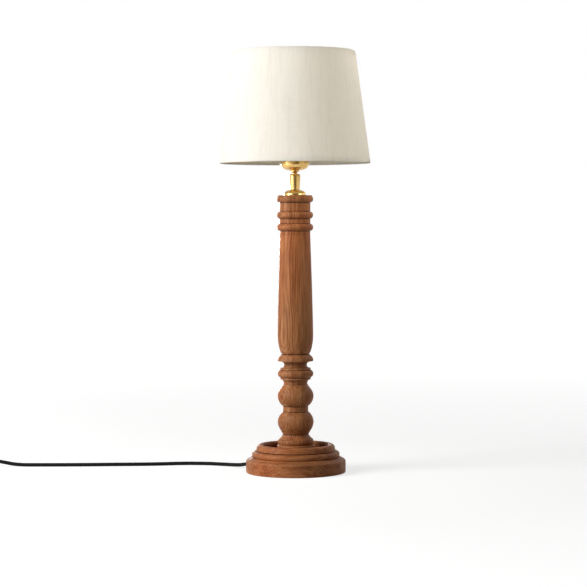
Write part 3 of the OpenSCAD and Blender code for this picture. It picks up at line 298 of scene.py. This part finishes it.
def wood(name, grain, tree_centre, rings, shift=(0, 0, 0)):
    """Oiled open-grained wood. grain is the axis that its fibres follow, and rings says how
    much its yearly rings show."""
    shader = Shader(name)
    around = shader.place()
    place = shader.scaled(around, (1, 1, 1), GRAIN_TURNS[grain], shift)

    trunk = shader.scaled(place, (1, 1, 0.12), (0, 0, 0), tree_centre)
    sway = shader.scaled(shader.noise(place, (9, 9, 3)), (0.03, 0.03, 0))
    bent = shader.node("ShaderNodeVectorMath", {0: trunk, 1: sway}, operation="ADD")
    years = shader.wave(
        bent.outputs["Vector"],
        scale=YEAR_RINGS,
        bend=5.0,
        detail=4.0,
        detail_scale=1.6,
        detail_rough=0.6,
        wave_type="RINGS",
        rings_direction="Z",
    )
    broad = shader.noise(place, (95, 95, 7), detail=4, rough=0.6)
    fibres = shader.noise(place, (480, 480, 20), detail=4, rough=0.62)
    pores = shader.noise(place, (1700, 1700, 75), rough=0.6)
    cloud = shader.noise(place, (14, 14, 6))
    scuffs = shader.noise(around, 260, detail=4, rough=0.7)
    turned = shader.noise(around, (12, 12, 900), rough=0.6)

    tone = shader.total((years, rings), (broad, FIGURE_SHARE - rings), (fibres, FIBRE_SHARE))
    redness = shader.fit(cloud, 0.42, 0.68, 0.0, 0.55)
    colour = shader.mix(redness, shader.ramp(tone, WOOD_TONES), WOOD_REDDISH, "SOFT_LIGHT")
    pore_shade = shader.fit(pores, 0.30, 0.42, 0.66, 1.0)
    colour = shader.mix(1.0, colour, pore_shade, "MULTIPLY")

    edge = shader.attribute("edge")
    on_edges = shader.fit(edge, 0.2, 1.0)
    in_grooves = shader.fit(edge, -0.10, -0.7)
    worn = shader.math("MULTIPLY", on_edges, shader.fit(scuffs, 0.38, 0.66), True)
    colour = shader.mix(shader.math("MULTIPLY", worn, WORN_SHARE), colour, WOOD_WORN)
    # Painted shade: the grooves are darkened towards dark brown, in scuffed patches.
    groove_shade = shader.math("MULTIPLY", in_grooves, shader.fit(scuffs, 0.2, 0.6, 0.65, 1.0), True)
    colour = shader.mix(shader.math("MULTIPLY", groove_shade, GROOVE_SHADE_SHARE), colour, WOOD_GROOVE_SHADE)

    relief = shader.total((fibres, 0.6), (pore_shade, 0.5), (turned, 0.25))
    shader.set(
        Base_Color=colour,
        Roughness=shader.fit(fibres, 0.3, 0.7, 0.42, 0.6),
        Normal=shader.bump(relief, WOOD_RELIEF, 0.5),
        Specular_IOR_Level=OILED_SHINE,
    )
    return shader.material


def metal(name, colour, dark, rough, brushed):
    """Metal with fine turning marks round the lamp's axis, smudges and a few dark specks."""
    shader = Shader(name)
    place = shader.place()
    smudges = shader.noise(place, (85, 85, 60), detail=5, rough=0.65, distortion=0.4)
    specks = shader.noise(place, 900, rough=0.6)
    marks = shader.noise(place, (30, 30, 6500))
    in_specks = shader.fit(specks, 0.62, 0.72, 0.0, 0.6)
    in_smudges = shader.fit(smudges, 0.62, 0.34, 0.0, 0.35)
    spotted = shader.math("MULTIPLY", in_specks, shader.fit(smudges, 0.65, 0.4))
    shader.set(
        Base_Color=shader.mix(shader.math("ADD", spotted, in_smudges, True), colour, dark),
        Metallic=1.0,
        Roughness=shader.fit(smudges, 0.3, 0.7, rough + 0.05, rough - 0.03),
        Normal=shader.bump(marks, brushed, 0.5),
    )
    return shader.material


def plastic(name, colour, rough, grain=900):
    """Moulded plastic with a spark-eroded grain, handled smooth in places, fine scratches
    and a little dust."""
    shader = Shader(name)
    place = shader.place()
    grains = shader.noise(place, grain, detail=3, rough=0.6)
    handled = shader.noise(place, 70, detail=4, rough=0.6, distortion=0.5)
    scratches = shader.noise(place, (90, 2600, 900), turn=(0.3, 0.5, 0.6))
    in_scratches = shader.fit(scratches, 0.66, 0.74)
    scratched = shader.math("MULTIPLY", in_scratches, shader.fit(handled, 0.4, 0.6))
    in_dust = shader.fit(grains, 0.6, 0.75)
    dust = shader.math("MULTIPLY", in_dust, shader.fit(handled, 0.62, 0.42))
    paler_scratches = shader.math("MULTIPLY", scratched, 0.7)
    marked = shader.math("MAXIMUM", paler_scratches, shader.math("MULTIPLY", dust, 0.8))
    paler = tuple(min(1.0, c * 1.4 + 0.012) for c in colour)
    gloss = shader.fit(handled, 0.3, 0.7, rough + 0.1, rough - 0.08)
    relief = shader.total((grains, 1.0), (scratched, -0.6))
    shader.set(
        Base_Color=shader.mix(marked, colour, paler),
        Roughness=shader.math("ADD", gloss, shader.math("MULTIPLY", marked, 0.12), True),
        Normal=shader.bump(relief, PLASTIC_RELIEF, 0.6),
    )
    return shader.material


def felt(name):
    shader = Shader(name)
    place = shader.place()
    fuzz = shader.noise(place, 1600, detail=4, rough=0.75, distortion=0.6)
    cloud = shader.noise(place, 90, detail=3)
    shader.set(
        Base_Color=shader.mix(fuzz, FELT_DARK, FELT_PALE),
        Roughness=0.95,
        Normal=shader.bump(shader.math("ADD", fuzz, cloud), FELT_RELIEF, 0.8),
        Sheen_Weight=0.3,
    )
    return shader.material


def linen(name):
    """Off-white linen. The cover's own map runs round the shade and up it, in metres."""
    shader = Shader(name)
    flat = shader.map_of("cloth")
    slub_up = shader.noise(flat, (1300, 55, 1), detail=3, rough=0.6)
    slub_round = shader.noise(flat, (22, 1300, 1), detail=3, rough=0.6)
    bands = shader.noise(flat, (170, 15, 1), detail=4, rough=0.65, distortion=0.3)
    thread = {"scale": LINEN_THREADS, "bend": 1.2, "detail": 2.0, "detail_scale": 0.6}
    threads = [shader.wave(flat, bands_direction=way, **thread) for way in ("X", "Y")]
    weave = shader.math("MULTIPLY", *threads)
    slubs = shader.total((slub_up, 0.62), (slub_round, 0.38))
    colour = shader.ramp(shader.total((slubs, 0.6), (bands, 0.4)), LINEN_TONES)
    # Painted shade: the gaps between the threads are darkened a little.
    colour = shader.mix(shader.fit(weave, 0.0, 0.3, 0.14, 0.0), colour, LINEN_GAP_SHADE)
    relief = shader.total((weave, 0.5), (slubs, 1.0))
    shader.set(
        Base_Color=colour,
        Roughness=0.9,
        Normal=shader.bump(relief, LINEN_RELIEF, 0.6),
        Sheen_Weight=0.08,
    )
    shader.let_through(LINEN_THROUGH, shader.mix(1.0, colour, LINEN_GLOW, "MULTIPLY"))
    return shader.material


def lining(name):
    """White film behind the linen, which lets light through."""
    shader = Shader(name)
    place = shader.place()
    colour = shader.mix(shader.noise(place, 30, detail=3), LINING_DARK, LINING_PALE)
    weave = shader.noise(place, 700)
    normal = shader.bump(weave, LINING_RELIEF, 0.4)
    shader.set(Base_Color=colour, Roughness=0.55, Normal=normal)
    shader.let_through(LINING_THROUGH, colour)
    return shader.material


def lead_cloth(name):
    """Black braid. The lead's own map runs along it in metres and once round it."""
    shader = Shader(name)
    flat = shader.map_of("braid")
    split = shader.node("ShaderNodeSeparateXYZ", {0: flat})
    along = shader.math("MULTIPLY", split.outputs[0], 1 / BRAID_PITCH)
    strands = []
    for way in (BRAID_STRANDS, -BRAID_STRANDS):
        turned = shader.math("ADD", along, shader.math("MULTIPLY", split.outputs[1], way))
        strands.append(shader.math("SINE", shader.math("MULTIPLY", turned, math.pi)))
    height = shader.math("ABSOLUTE", shader.math("MULTIPLY", *strands))
    fibre = shader.noise(flat, (5200, 40, 1), detail=3, rough=0.7)
    relief = shader.total((height, 1.0), (fibre, 0.5))
    # Painted shade: the colour is darker in the hollows between strands and paler on their crests.
    shader.set(
        Base_Color=shader.mix(shader.fit(relief, 0.1, 1.2), BRAID_HOLLOW_SHADE, BRAID_CREST_TONE),
        Roughness=shader.fit(fibre, 0.3, 0.7, 0.62, 0.85),
        Normal=shader.bump(relief, BRAID_RELIEF, 0.9),
        Specular_IOR_Level=BRAID_SHINE,
    )
    return shader.material


def glass(name):
    shader = Shader(name)
    waves = shader.noise(shader.place(), 35)
    shader.set(
        Base_Color=(*GLASS_TINT, 1),
        Roughness=0.02,
        Transmission_Weight=1.0,
        IOR=GLASS_BENDING,
        Normal=shader.bump(waves, GLASS_RELIEF, 0.1),
    )
    return shader.material


def filament_coat(name):
    """The yellow coating of filament sticks, cold."""
    shader = Shader(name)
    grains = shader.noise(shader.place(), (900, 900, 500), detail=3)
    shader.set(
        Base_Color=shader.mix(grains, FILAMENT_DARK, FILAMENT_PALE),
        Roughness=0.5,
        Normal=shader.bump(grains, FILAMENT_RELIEF, 0.4),
    )
    return shader.material


# Lines and grids of points


def hermite(a, out, b, into, t):
    """The point at t of a curve that leaves a by out and comes to b by into."""
    return (
        (2 * t**3 - 3 * t**2 + 1) * a
        + (t**3 - 2 * t**2 + t) * out
        + (3 * t**2 - 2 * t**3) * b
        + (t**3 - t**2) * into
    )


def lengths_along(line):
    """How far along a line each of its points is."""
    lengths = [0.0]
    for a, b in zip(line, line[1:]):
        lengths.append(lengths[-1] + (b - a).length)
    return lengths


def corners(ring, side):
    """The corners of a face of a grid of rings and sides, in the order of its loops."""
    return ((ring, side), (ring, side + 1), (ring + 1, side + 1), (ring + 1, side))


def grid_faces(rings, sides):
    """The faces between closed rings of points."""
    return [
        tuple(r * sides + s % sides for r, s in corners(ring, side))
        for ring in range(rings - 1)
        for side in range(sides)
    ]


def map_grid(mesh, name, faces, sides, place_of):
    """Gives faces of a grid a map, where place_of tells the place of a ring's side."""
    flat = mesh.uv_layers.new(name=name)
    for face in faces:
        for loop, corner in zip(face.loop_indices, corners(*divmod(face.index, sides))):
            flat.data[loop].uv = place_of(*corner)


# Turned pieces

FULL_RING = 40
RING_DIGITS = 5
SAME_PLACE = 0.05 * MM
SHARP_CORNER = math.radians(33)
SKIN_STEP = 1.2 * MM
WEAR_REACH = 1.6 * MM
PLINTH_SIDES = 256
PLINTH_RECESS = 60 * MM
PLINTH_RECESS_TOP = 24 * MM
PLINTH_HIDDEN = 20 * MM
COLUMN_SIDES = 192
COLUMN_HIDDEN = 12 * MM
COLUMN_BORE = 8 * MM


def rings_of(node, keep):
    """Radius and height of each ring of a turned CAD node that keep lets through, walked
    from ring to ring along the mesh from the lowest and outermost one."""
    mesh = nodes[node].data
    ring = [
        (round(math.hypot(v.co.x, v.co.y), RING_DIGITS), round(v.co.z, RING_DIGITS))
        for v in mesh.vertices
    ]
    full = {p for p, count in Counter(ring).items() if count >= FULL_RING and keep(*p)}
    beside = {p: set() for p in full}
    for edge in mesh.edges:
        a, b = (ring[v] for v in edge.vertices)
        if a != b and a in full and b in full:
            beside[a].add(b)
            beside[b].add(a)
    here = min(full, key=lambda p: (p[1], -p[0]))
    walked = [here]
    while beside[here] - set(walked):
        here = min(beside[here] - set(walked), key=lambda p: math.dist(p, walked[-1]))
        walked.append(here)
    apart = [walked[0]]
    apart += [b for a, b in zip(walked, walked[1:]) if math.dist(a, b) > SAME_PLACE]
    return [Vector(p) for p in apart]


def smoothed(outline, step):
    """The outline with its soft corners rounded through and its sharp ones kept, as points
    about step apart, and for each point whether it is a sharp corner."""
    count = len(outline)
    ways = [(outline[i + 1] - outline[i]).normalized() for i in range(count - 1)]
    points, sharp = [], []
    for i in range(count - 1):
        a, b = outline[i], outline[i + 1]
        reach = (b - a).length
        before = ways[i - 1] if i else ways[i]
        after = ways[i + 1] if i + 2 < count else ways[i]
        soft_a = before.angle(ways[i]) < SHARP_CORNER
        soft_b = after.angle(ways[i]) < SHARP_CORNER
        out = (before + ways[i]).normalized() * reach if soft_a else ways[i] * reach
        into = (after + ways[i]).normalized() * reach if soft_b else ways[i] * reach
        pieces = max(1, round(reach / step))
        for k in range(pieces):
            points.append(hermite(a, out, b, into, k / pieces))
            sharp.append(k == 0 and not soft_a)
    points.append(outline[-1])
    sharp.append(True)
    return points, sharp


def edge_values(points, reach):
    """How sharply the outline turns outwards, or inwards below 0, within reach of each point."""
    lengths = lengths_along(points)

    def at(length):
        length = min(max(length, 0.0), lengths[-1])
        i = max(j for j in range(len(lengths)) if lengths[j] <= length)
        if i == len(points) - 1:
            return points[-1]
        share = (length - lengths[i]) / (lengths[i + 1] - lengths[i])
        return points[i].lerp(points[i + 1], share)

    values = []
    for length, point in zip(lengths, points):
        before = point - at(length - reach)
        after = at(length + reach) - point
        turn = before.angle_signed(after, 0) if before.length and after.length else 0
        values.append(-turn)
    return values


def lathe(name, points, sharp, segments, edges):
    """A turned skin, open at both ends, with the edge values kept on its points."""
    ways = [math.tau * s / segments for s in range(segments)]
    verts = [(p.x * math.cos(way), p.x * math.sin(way), p.y) for p in points for way in ways]
    mesh = bpy.data.meshes.new(name)
    mesh.from_pydata(verts, [], grid_faces(len(points), segments))
    mesh.shade_smooth()
    hard = mesh.attributes.new("sharp_edge", "BOOLEAN", "EDGE")
    for edge in mesh.edges:
        a, b = (v // segments for v in edge.vertices)
        hard.data[edge.index].value = a == b and sharp[a]
    wear = mesh.attributes.new("edge", "FLOAT", "POINT")
    wear.data.foreach_set("value", [value for value in edges for _ in range(segments)])
    mesh.update()
    return add_object(name, mesh)


def wooden_piece(name, node, keep, material, segments, top_in_to):
    """A skin for a turned node, closed on top as far in as radius top_in_to."""
    outline = rings_of(node, keep)
    outline.append(Vector((top_in_to, outline[-1].y)))
    points, sharp = smoothed(outline, SKIN_STEP)
    made = lathe(name, points, sharp, segments, edge_values(points, WEAR_REACH))
    made.data.materials.append(material)
    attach(made, "stand")
    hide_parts(node)


def seen_on_plinth(radius, height):
    """Whether a ring isn't in the recess underneath or under the column."""
    in_recess = radius <= PLINTH_RECESS and height <= PLINTH_RECESS_TOP
    return radius > PLINTH_HIDDEN and not in_recess


def seen_on_column(radius, height):
    """Whether a ring isn't in the bore."""
    return radius > COLUMN_HIDDEN


# Lead

LEAD_RADIUS = 3.1 * MM
LEAD_SIDES = 14
CORE_RADIUS = 1.2 * MM
SHEATH_END_RADIUS = 2.2 * MM
SHEATH_CUT_BACK = 15 * MM
SWITCH = Vector((-561, 84, 9.5)) * MM
SWITCH_HALF = 45 * MM
COIL_CENTRE = Vector((-601, 20)) * MM
COIL_TURNS = 5
COIL_RADIUS = 43 * MM
COIL_STEP = 6.8 * MM
COIL_LAYER = 6.75 * MM
COIL_CLIMB = 0.5
COIL_RINGS = 48
SPLINE_STEPS = 6

# The routes are in millimetres.
EXIT_ANGLE = math.radians(150)
EXIT_WAY = Vector((math.cos(EXIT_ANGLE), math.sin(EXIT_ANGLE), 0))
GLAND_REACH = 90.5
GLAND_HEIGHT = 7.5
GLAND_TIP = EXIT_WAY * GLAND_REACH + Vector((0, 0, GLAND_HEIGHT))
COIL_START = -644
PLUG_HEIGHT = 6.85
RUN_ROUTE = [
    GLAND_TIP,
    GLAND_TIP + 6 * EXIT_WAY,
    (-93, 54, 5.6),
    (-103, 64, 4.4),
    (-114, 75, 3.5),
    (-128, 84, 3.1),
    (-146, 91.5, 3.1),
    (-165, 95, 3.1),
    (-185, 96, 3.1),
    (-206, 94, 3.1),
    (-228, 90, 3.1),
    (-252, 87, 3.1),
    (-280, 85.5, 3.1),
    (-310, 84.5, 3.1),
    (-340, 83, 3.1),
    (-372, 82, 3.1),
    (-404, 82, 3.1),
    (-436, 82.5, 3.1),
    (-462, 83.5, 3.2),
    (-480, 84, 4.6),
    (-496, 84, 7.6),
    (-508, 84, 9.5),
    (-516, 84, 9.5),
]
TAIL_ROUTE = [
    (-606, 84, 9.5),
    (-613, 84, 9.2),
    (-621, 82.6, 7.6),
    (-630, 77.5, 5.2),
    (-637.5, 69, 3.7),
    (-642, 58.5, 3.1),
    (COIL_START, 46, 3.1),
    (COIL_START, 36, 3.1),
    (COIL_START, 26.2, 3.1),
]
END_ROUTE = [
    (COIL_START, 13.8, 9.85),
    (COIL_START, 4, 9.85),
    (COIL_START, -7, 8.4),
    (COIL_START, -17, PLUG_HEIGHT),
    (COIL_START, -25, PLUG_HEIGHT),
]


def spline(route):
    """A smooth line in metres through a route's points."""
    route = [Vector(p) * MM for p in route]
    route = [2 * route[0] - route[1], *route, 2 * route[-1] - route[-2]]
    line = [
        hermite(b, (c - a) / 2, c, (d - b) / 2, k / SPLINE_STEPS)
        for a, b, c, d in zip(route, route[1:], route[2:], route[3:])
        for k in range(SPLINE_STEPS)
    ]
    return [*line, route[-2]]


def coil_point(turns):
    """Spirals in on the table, climbs a layer where it turns back, and spirals out on top."""
    radius = COIL_RADIUS - COIL_STEP * min(turns, COIL_TURNS - turns)
    way = math.pi + math.tau * turns
    rise = min(max((turns - COIL_TURNS / 2) / COIL_CLIMB + 0.5, 0), 1)
    rise = rise * rise * (3 - 2 * rise)
    flat = COIL_CENTRE + radius * Vector((math.cos(way), math.sin(way)))
    return Vector((*flat, LEAD_RADIUS + COIL_LAYER * rise))


def lead_line():
    """The whole lead's middle line, and how thick it is at each point of it. It narrows
    inside the switch, where its outer sheath is cut back to the cores."""
    run = spline(RUN_ROUTE)
    end, cores = SWITCH_HALF - MM, SWITCH_HALF - SHEATH_CUT_BACK
    inside = [SWITCH + Vector((x, 0, 0)) for x in (end, cores, 0, -cores, -end)]
    coil = [coil_point(i / COIL_RINGS) for i in range(COIL_TURNS * COIL_RINGS + 1)]
    after = [*spline(TAIL_ROUTE), *coil, *spline(END_ROUTE)]
    radii = [LEAD_RADIUS] * len(run)
    radii += [SHEATH_END_RADIUS, CORE_RADIUS, CORE_RADIUS, CORE_RADIUS, SHEATH_END_RADIUS]
    radii += [LEAD_RADIUS] * len(after)
    return [*run, *inside, *after], radii


def tube(name, line, radii, sides):
    """A closed tube round a line, with a map that runs along it and round it."""
    last = len(line) - 1
    along = [(line[min(i + 1, last)] - line[max(i - 1, 0)]).normalized() for i in range(last + 1)]
    across = Vector((0, 0, 1)).cross(along[0]).normalized()
    verts = []
    for point, way, radius in zip(line, along, radii):
        across = (across - across.dot(way) * way).normalized()
        up = way.cross(across)
        for k in range(sides):
            a = math.tau * k / sides
            verts.append(point + radius * (math.cos(a) * across + math.sin(a) * up))
    start_cap = tuple(reversed(range(sides)))
    end_cap = tuple(range(len(verts) - sides, len(verts)))
    mesh = bpy.data.meshes.new(name)
    mesh.from_pydata(verts, [], [*grid_faces(len(line), sides), start_cap, end_cap])
    mesh.shade_smooth()
    lengths = lengths_along(line)
    round_faces = mesh.polygons[:-2]
    map_grid(mesh, "braid", round_faces, sides, lambda ring, side: (lengths[ring], side / sides))
    return add_object(name, mesh)


def make_lead():
    line, radii = lead_line()
    lead = tube("lead", line, radii, LEAD_SIDES)
    lead.data.materials.append(lead_cloth("lead_cloth"))
    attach(lead, "stand")
    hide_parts("cord_run", "cord_tail", "cord_coil", "cord_end")


# Linen cover

SHADE_BOTTOM = 124.5 * MM
SHADE_TOP = 100 * MM
SHADE_LOW = 510.6 * MM
SHADE_HIGH = 694.4 * MM
SHADE_SEGMENTS = 288
SHADE_RINGS = 60
LINEN_THICKNESS = 0.4 * MM
FOLD_IN = 4.3 * MM
FOLD_UP = 7 * MM
FOLD_CORNER = 0.8 * MM
HEM_ROUND = 1.2 * MM
HEM_WAYS = [math.radians(a) for a in range(0, 91, 15)]
SEAM_FIRST = 70
SEAM_LAST = 74
SEAM_RISE = 0.4 * MM
SEAM_STEP = 0.15


def cover_outline():
    """The linen's outside from its lower fold, round the wire, up and round the upper wire."""
    height = SHADE_HIGH - SHADE_LOW

    def out(z):
        return SHADE_BOTTOM + (SHADE_TOP - SHADE_BOTTOM) * (z - SHADE_LOW) / height

    def fold(z, way):
        inside = out(z) - FOLD_IN
        back = [(inside, z + way * FOLD_UP), (inside, z + way * FOLD_CORNER)]
        hem = [
            (out(z) - HEM_ROUND * (1 - math.sin(a)), z + way * HEM_ROUND * (1 - math.cos(a)))
            for a in HEM_WAYS
        ]
        return [Vector(p) for p in (*back, (inside + FOLD_CORNER, z), *hem)]

    levels = [SHADE_LOW + height * i / SHADE_RINGS for i in range(1, SHADE_RINGS)]
    rise = [Vector((out(z), z)) for z in levels]
    return [*fold(SHADE_LOW, 1), *rise, *reversed(fold(SHADE_HIGH, -1))]


def lap_seam(mesh):
    """Laps the linen at the back. Its upper layer ends in a step at the seam's first edge
    and sinks into the cover after the last one."""
    step_way = math.tau * (SEAM_FIRST - SEAM_STEP) / SHADE_SEGMENTS
    for vertex in mesh.vertices:
        side = vertex.index % SHADE_SEGMENTS
        radius = math.hypot(vertex.co.x, vertex.co.y)
        if side == SEAM_FIRST - 1:
            vertex.co.x = radius * math.cos(step_way)
            vertex.co.y = radius * math.sin(step_way)
        elif SEAM_FIRST <= side <= SEAM_LAST:
            vertex.co.x *= 1 + SEAM_RISE / radius
            vertex.co.y *= 1 + SEAM_RISE / radius
    hard = mesh.attributes["sharp_edge"]
    for edge in mesh.edges:
        a, b = (v % SHADE_SEGMENTS for v in edge.vertices)
        if a == b and a in (SEAM_FIRST - 1, SEAM_FIRST):
            hard.data[edge.index].value = True


def make_cover():
    """The linen, with a lapped seam at the back and a thickness that goes inwards."""
    points = cover_outline()
    soft, level = [False] * len(points), [0.0] * len(points)
    cover = lathe("linen_cover", points, soft, SHADE_SEGMENTS, level)
    slants = lengths_along(points)
    middle_girth = math.tau * (SHADE_BOTTOM + SHADE_TOP) / 2

    def on_cloth(ring, side):
        return (middle_girth * side / SHADE_SEGMENTS, slants[ring])

    map_grid(cover.data, "cloth", cover.data.polygons, SHADE_SEGMENTS, on_cloth)
    lap_seam(cover.data)
    thick = cover.modifiers.new("thickness", "SOLIDIFY")
    thick.thickness = LINEN_THICKNESS
    thick.offset = -1
    cover.data.materials.append(linen("linen"))
    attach(cover, "shade")
    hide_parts("shade_linen")


# Floor and light. The floor looks white by its lift, and it throws back a little more light
# than its own grey would.

WHITE = (1, 1, 1)
SEEN_RAYS = ("Is Camera Ray", "Is Glossy Ray", "Is Transmission Ray")
FLOOR_SIZE = 60
FLOOR_BOUNCE = (0.62, 0.62, 0.61)
FLOOR_SEEN = (0.42, 0.42, 0.42)
FLOOR_LIFT = 0.75
FLOOR_NEAR = 0.5
FLOOR_FAR = 2.6
AMBIENT = (0.03, 0.028, 0.025)
COLUMN_MIDDLE = (0, 0, 0.35)
SHADE_MIDDLE = (0, 0, 0.6)
SHADE_EDGE = (0, 0, 0.51)

# Sizes are in metres, powers in watts and beams in degrees.
LIGHTS = {
    "key": {
        "place": (-2.25, -1.0, 1.3),
        "target": COLUMN_MIDDLE,
        "size": (1.3, 2.0),
        "power": 86,
        "colour": (1.0, 0.995, 0.99),
        "beam": 180,
    },
    "front": {
        "place": (-1.5, -1.6, 1.2),
        "target": SHADE_MIDDLE,
        "size": (0.6, 0.6),
        "power": 0.5,
        "colour": (1.0, 0.995, 0.985),
        "beam": 40,
    },
    "fill": {
        "place": (1.4, -0.8, 1.1),
        "target": SHADE_MIDDLE,
        "size": (0.5, 0.5),
        "power": 0.62,
        "colour": (1.0, 0.96, 0.88),
        "beam": 30,
    },
    "back": {
        "place": (-0.5, 2.4, 0.5),
        "target": SHADE_EDGE,
        "size": (0.5, 0.5),
        "power": 1.1,
        "colour": (1.0, 0.99, 0.96),
        "beam": 20,
    },
    "rim": {
        "place": (1.7, 1.0, 1.4),
        "target": SHADE_MIDDLE,
        "size": (0.5, 0.9),
        "power": 0.55,
        "colour": (1.0, 0.98, 0.94),
        "beam": 40,
    },
}
CARD_PLACE = (0.22, -1.7, 0.55)
CARD_TARGET = (0, 0, 0.5)
CARD_SIZE = (1.8, 1.5)
CARD_COLOUR = (0.012, 0.010, 0.008, 1)
CARD_GLOW = (0.13, 0.10, 0.05, 1)


def aim(place, target, axis):
    """The turn that points an axis from a place to its target."""
    return (Vector(target) - Vector(place)).to_track_quat(axis, "Y").to_euler()


def rectangle(name, width, height):
    """A flat face round its own middle."""
    x, y = width / 2, height / 2
    mesh = bpy.data.meshes.new(name)
    mesh.from_pydata([(-x, -y, 0), (x, -y, 0), (x, y, 0), (-x, y, 0)], [], [(0, 1, 2, 3)])
    return mesh


def make_floor():
    """White further off, and near the lamp with its shadow."""
    floor = add_object("floor", rectangle("floor", FLOOR_SIZE, FLOOR_SIZE))
    shader = Shader("floor")
    base = shader.mix(shader.ray_is("Is Camera Ray"), FLOOR_BOUNCE, FLOOR_SEEN)
    shader.set(Base_Color=base, Roughness=0.9, Specular_IOR_Level=0.0)
    away = shader.node("ShaderNodeVectorMath", {0: shader.place()}, operation="LENGTH")
    lift = shader.fit(away.outputs["Value"], FLOOR_NEAR, FLOOR_FAR, FLOOR_LIFT, 1.0)
    strength = shader.math("MULTIPLY", shader.ray_is(*SEEN_RAYS), lift)
    glow = shader.node("ShaderNodeEmission", {"Color": (*WHITE, 1), "Strength": strength})
    shader.join("ShaderNodeAddShader", {}, glow)
    floor.data.materials.append(shader.material)


def make_world():
    """White where it is seen, mirrored or looked at through glass, and dim elsewhere."""
    world = bpy.data.worlds.new("studio")
    world.use_nodes = True
    bpy.context.scene.world = world
    tree = Tree(world.node_tree)
    colour = tree.mix(tree.ray_is(*SEEN_RAYS), AMBIENT, WHITE)
    tree.put(world.node_tree.nodes["Background"].inputs["Color"], colour)


def area_light(name, place, target, size, power, colour, beam):
    data = bpy.data.lights.new(name, "AREA")
    data.shape = "RECTANGLE"
    data.size, data.size_y = size
    data.energy = power
    data.color = colour
    data.spread = math.radians(beam)
    add_object(name, data, place, aim(place, target, "-Z"))


def dark_card(name, place, target, size):
    """A dim brown studio card that only shiny surfaces mirror."""
    card = add_object(name, rectangle(name, *size), place, aim(place, target, "Z"))
    card.visible_camera = False
    card.visible_diffuse = False
    card.visible_transmission = False
    card.visible_shadow = False
    shader = Shader(name)
    shader.set(
        Base_Color=CARD_COLOUR,
        Roughness=1.0,
        Specular_IOR_Level=0.0,
        Emission_Color=CARD_GLOW,
        Emission_Strength=1.0,
    )
    card.data.materials.append(shader.material)


make_camera()
make_lead()

column_wood = wood("column_wood", "z", COLUMN_TREE, rings=0.1)
plinth_wood = wood("plinth_wood", "x", PLINTH_TREE, rings=0.05, shift=PLINTH_SHIFT)
wooden_piece("plinth_turned", "plinth", seen_on_plinth, plinth_wood, PLINTH_SIDES, PLINTH_HIDDEN)
wooden_piece("column_turned", "column", seen_on_column, column_wood, COLUMN_SIDES, COLUMN_BORE)
make_cover()

brass = metal("brass", BRASS, BRASS_DARK, 0.26, BRUSHED_RELIEF)
steel = metal("steel", STEEL, STEEL_DARK, 0.32, BRUSHED_RELIEF)
bulb_metal = metal("bulb_metal", BULB_CAP, BULB_CAP_DARK, 0.28, BULB_CAP_RELIEF)
FINISHES = {
    "felt": felt("felt"),
    "steel": steel,
    "brass": brass,
    "lead_cloth": plastic("inner_sheath", linear(24, 24, 24), 0.7),
    "black_plastic": plastic("black_plastic", linear(16, 16, 17), 0.4),
    "core_insulation": plastic("core_insulation", linear(92, 98, 140), 0.35, grain=400),
    "insulator": plastic("insulator", linear(236, 233, 224), 0.3, grain=500),
    "shade_lining": lining("shade_lining"),
    "glass": glass("bulb_glass"),
    "bulb_metal": bulb_metal,
    "bulb_black": plastic("bulb_black", linear(16, 16, 16), 0.2, grain=300),
    "filament": filament_coat("filament"),
    "wood": column_wood,
    "linen": linen("spare_linen"),
}
for part in frame["record"]["subparts"]:
    node = nodes[part["node"]]
    node.data.materials.clear()
    node.data.materials.append(FINISHES[part["material_slot"]])

make_floor()
make_world()
for light, settings in LIGHTS.items():
    area_light(light, **settings)
dark_card("card_front", CARD_PLACE, CARD_TARGET, CARD_SIZE)
scene = bpy.context.scene
scene.view_settings.view_transform = "Standard"
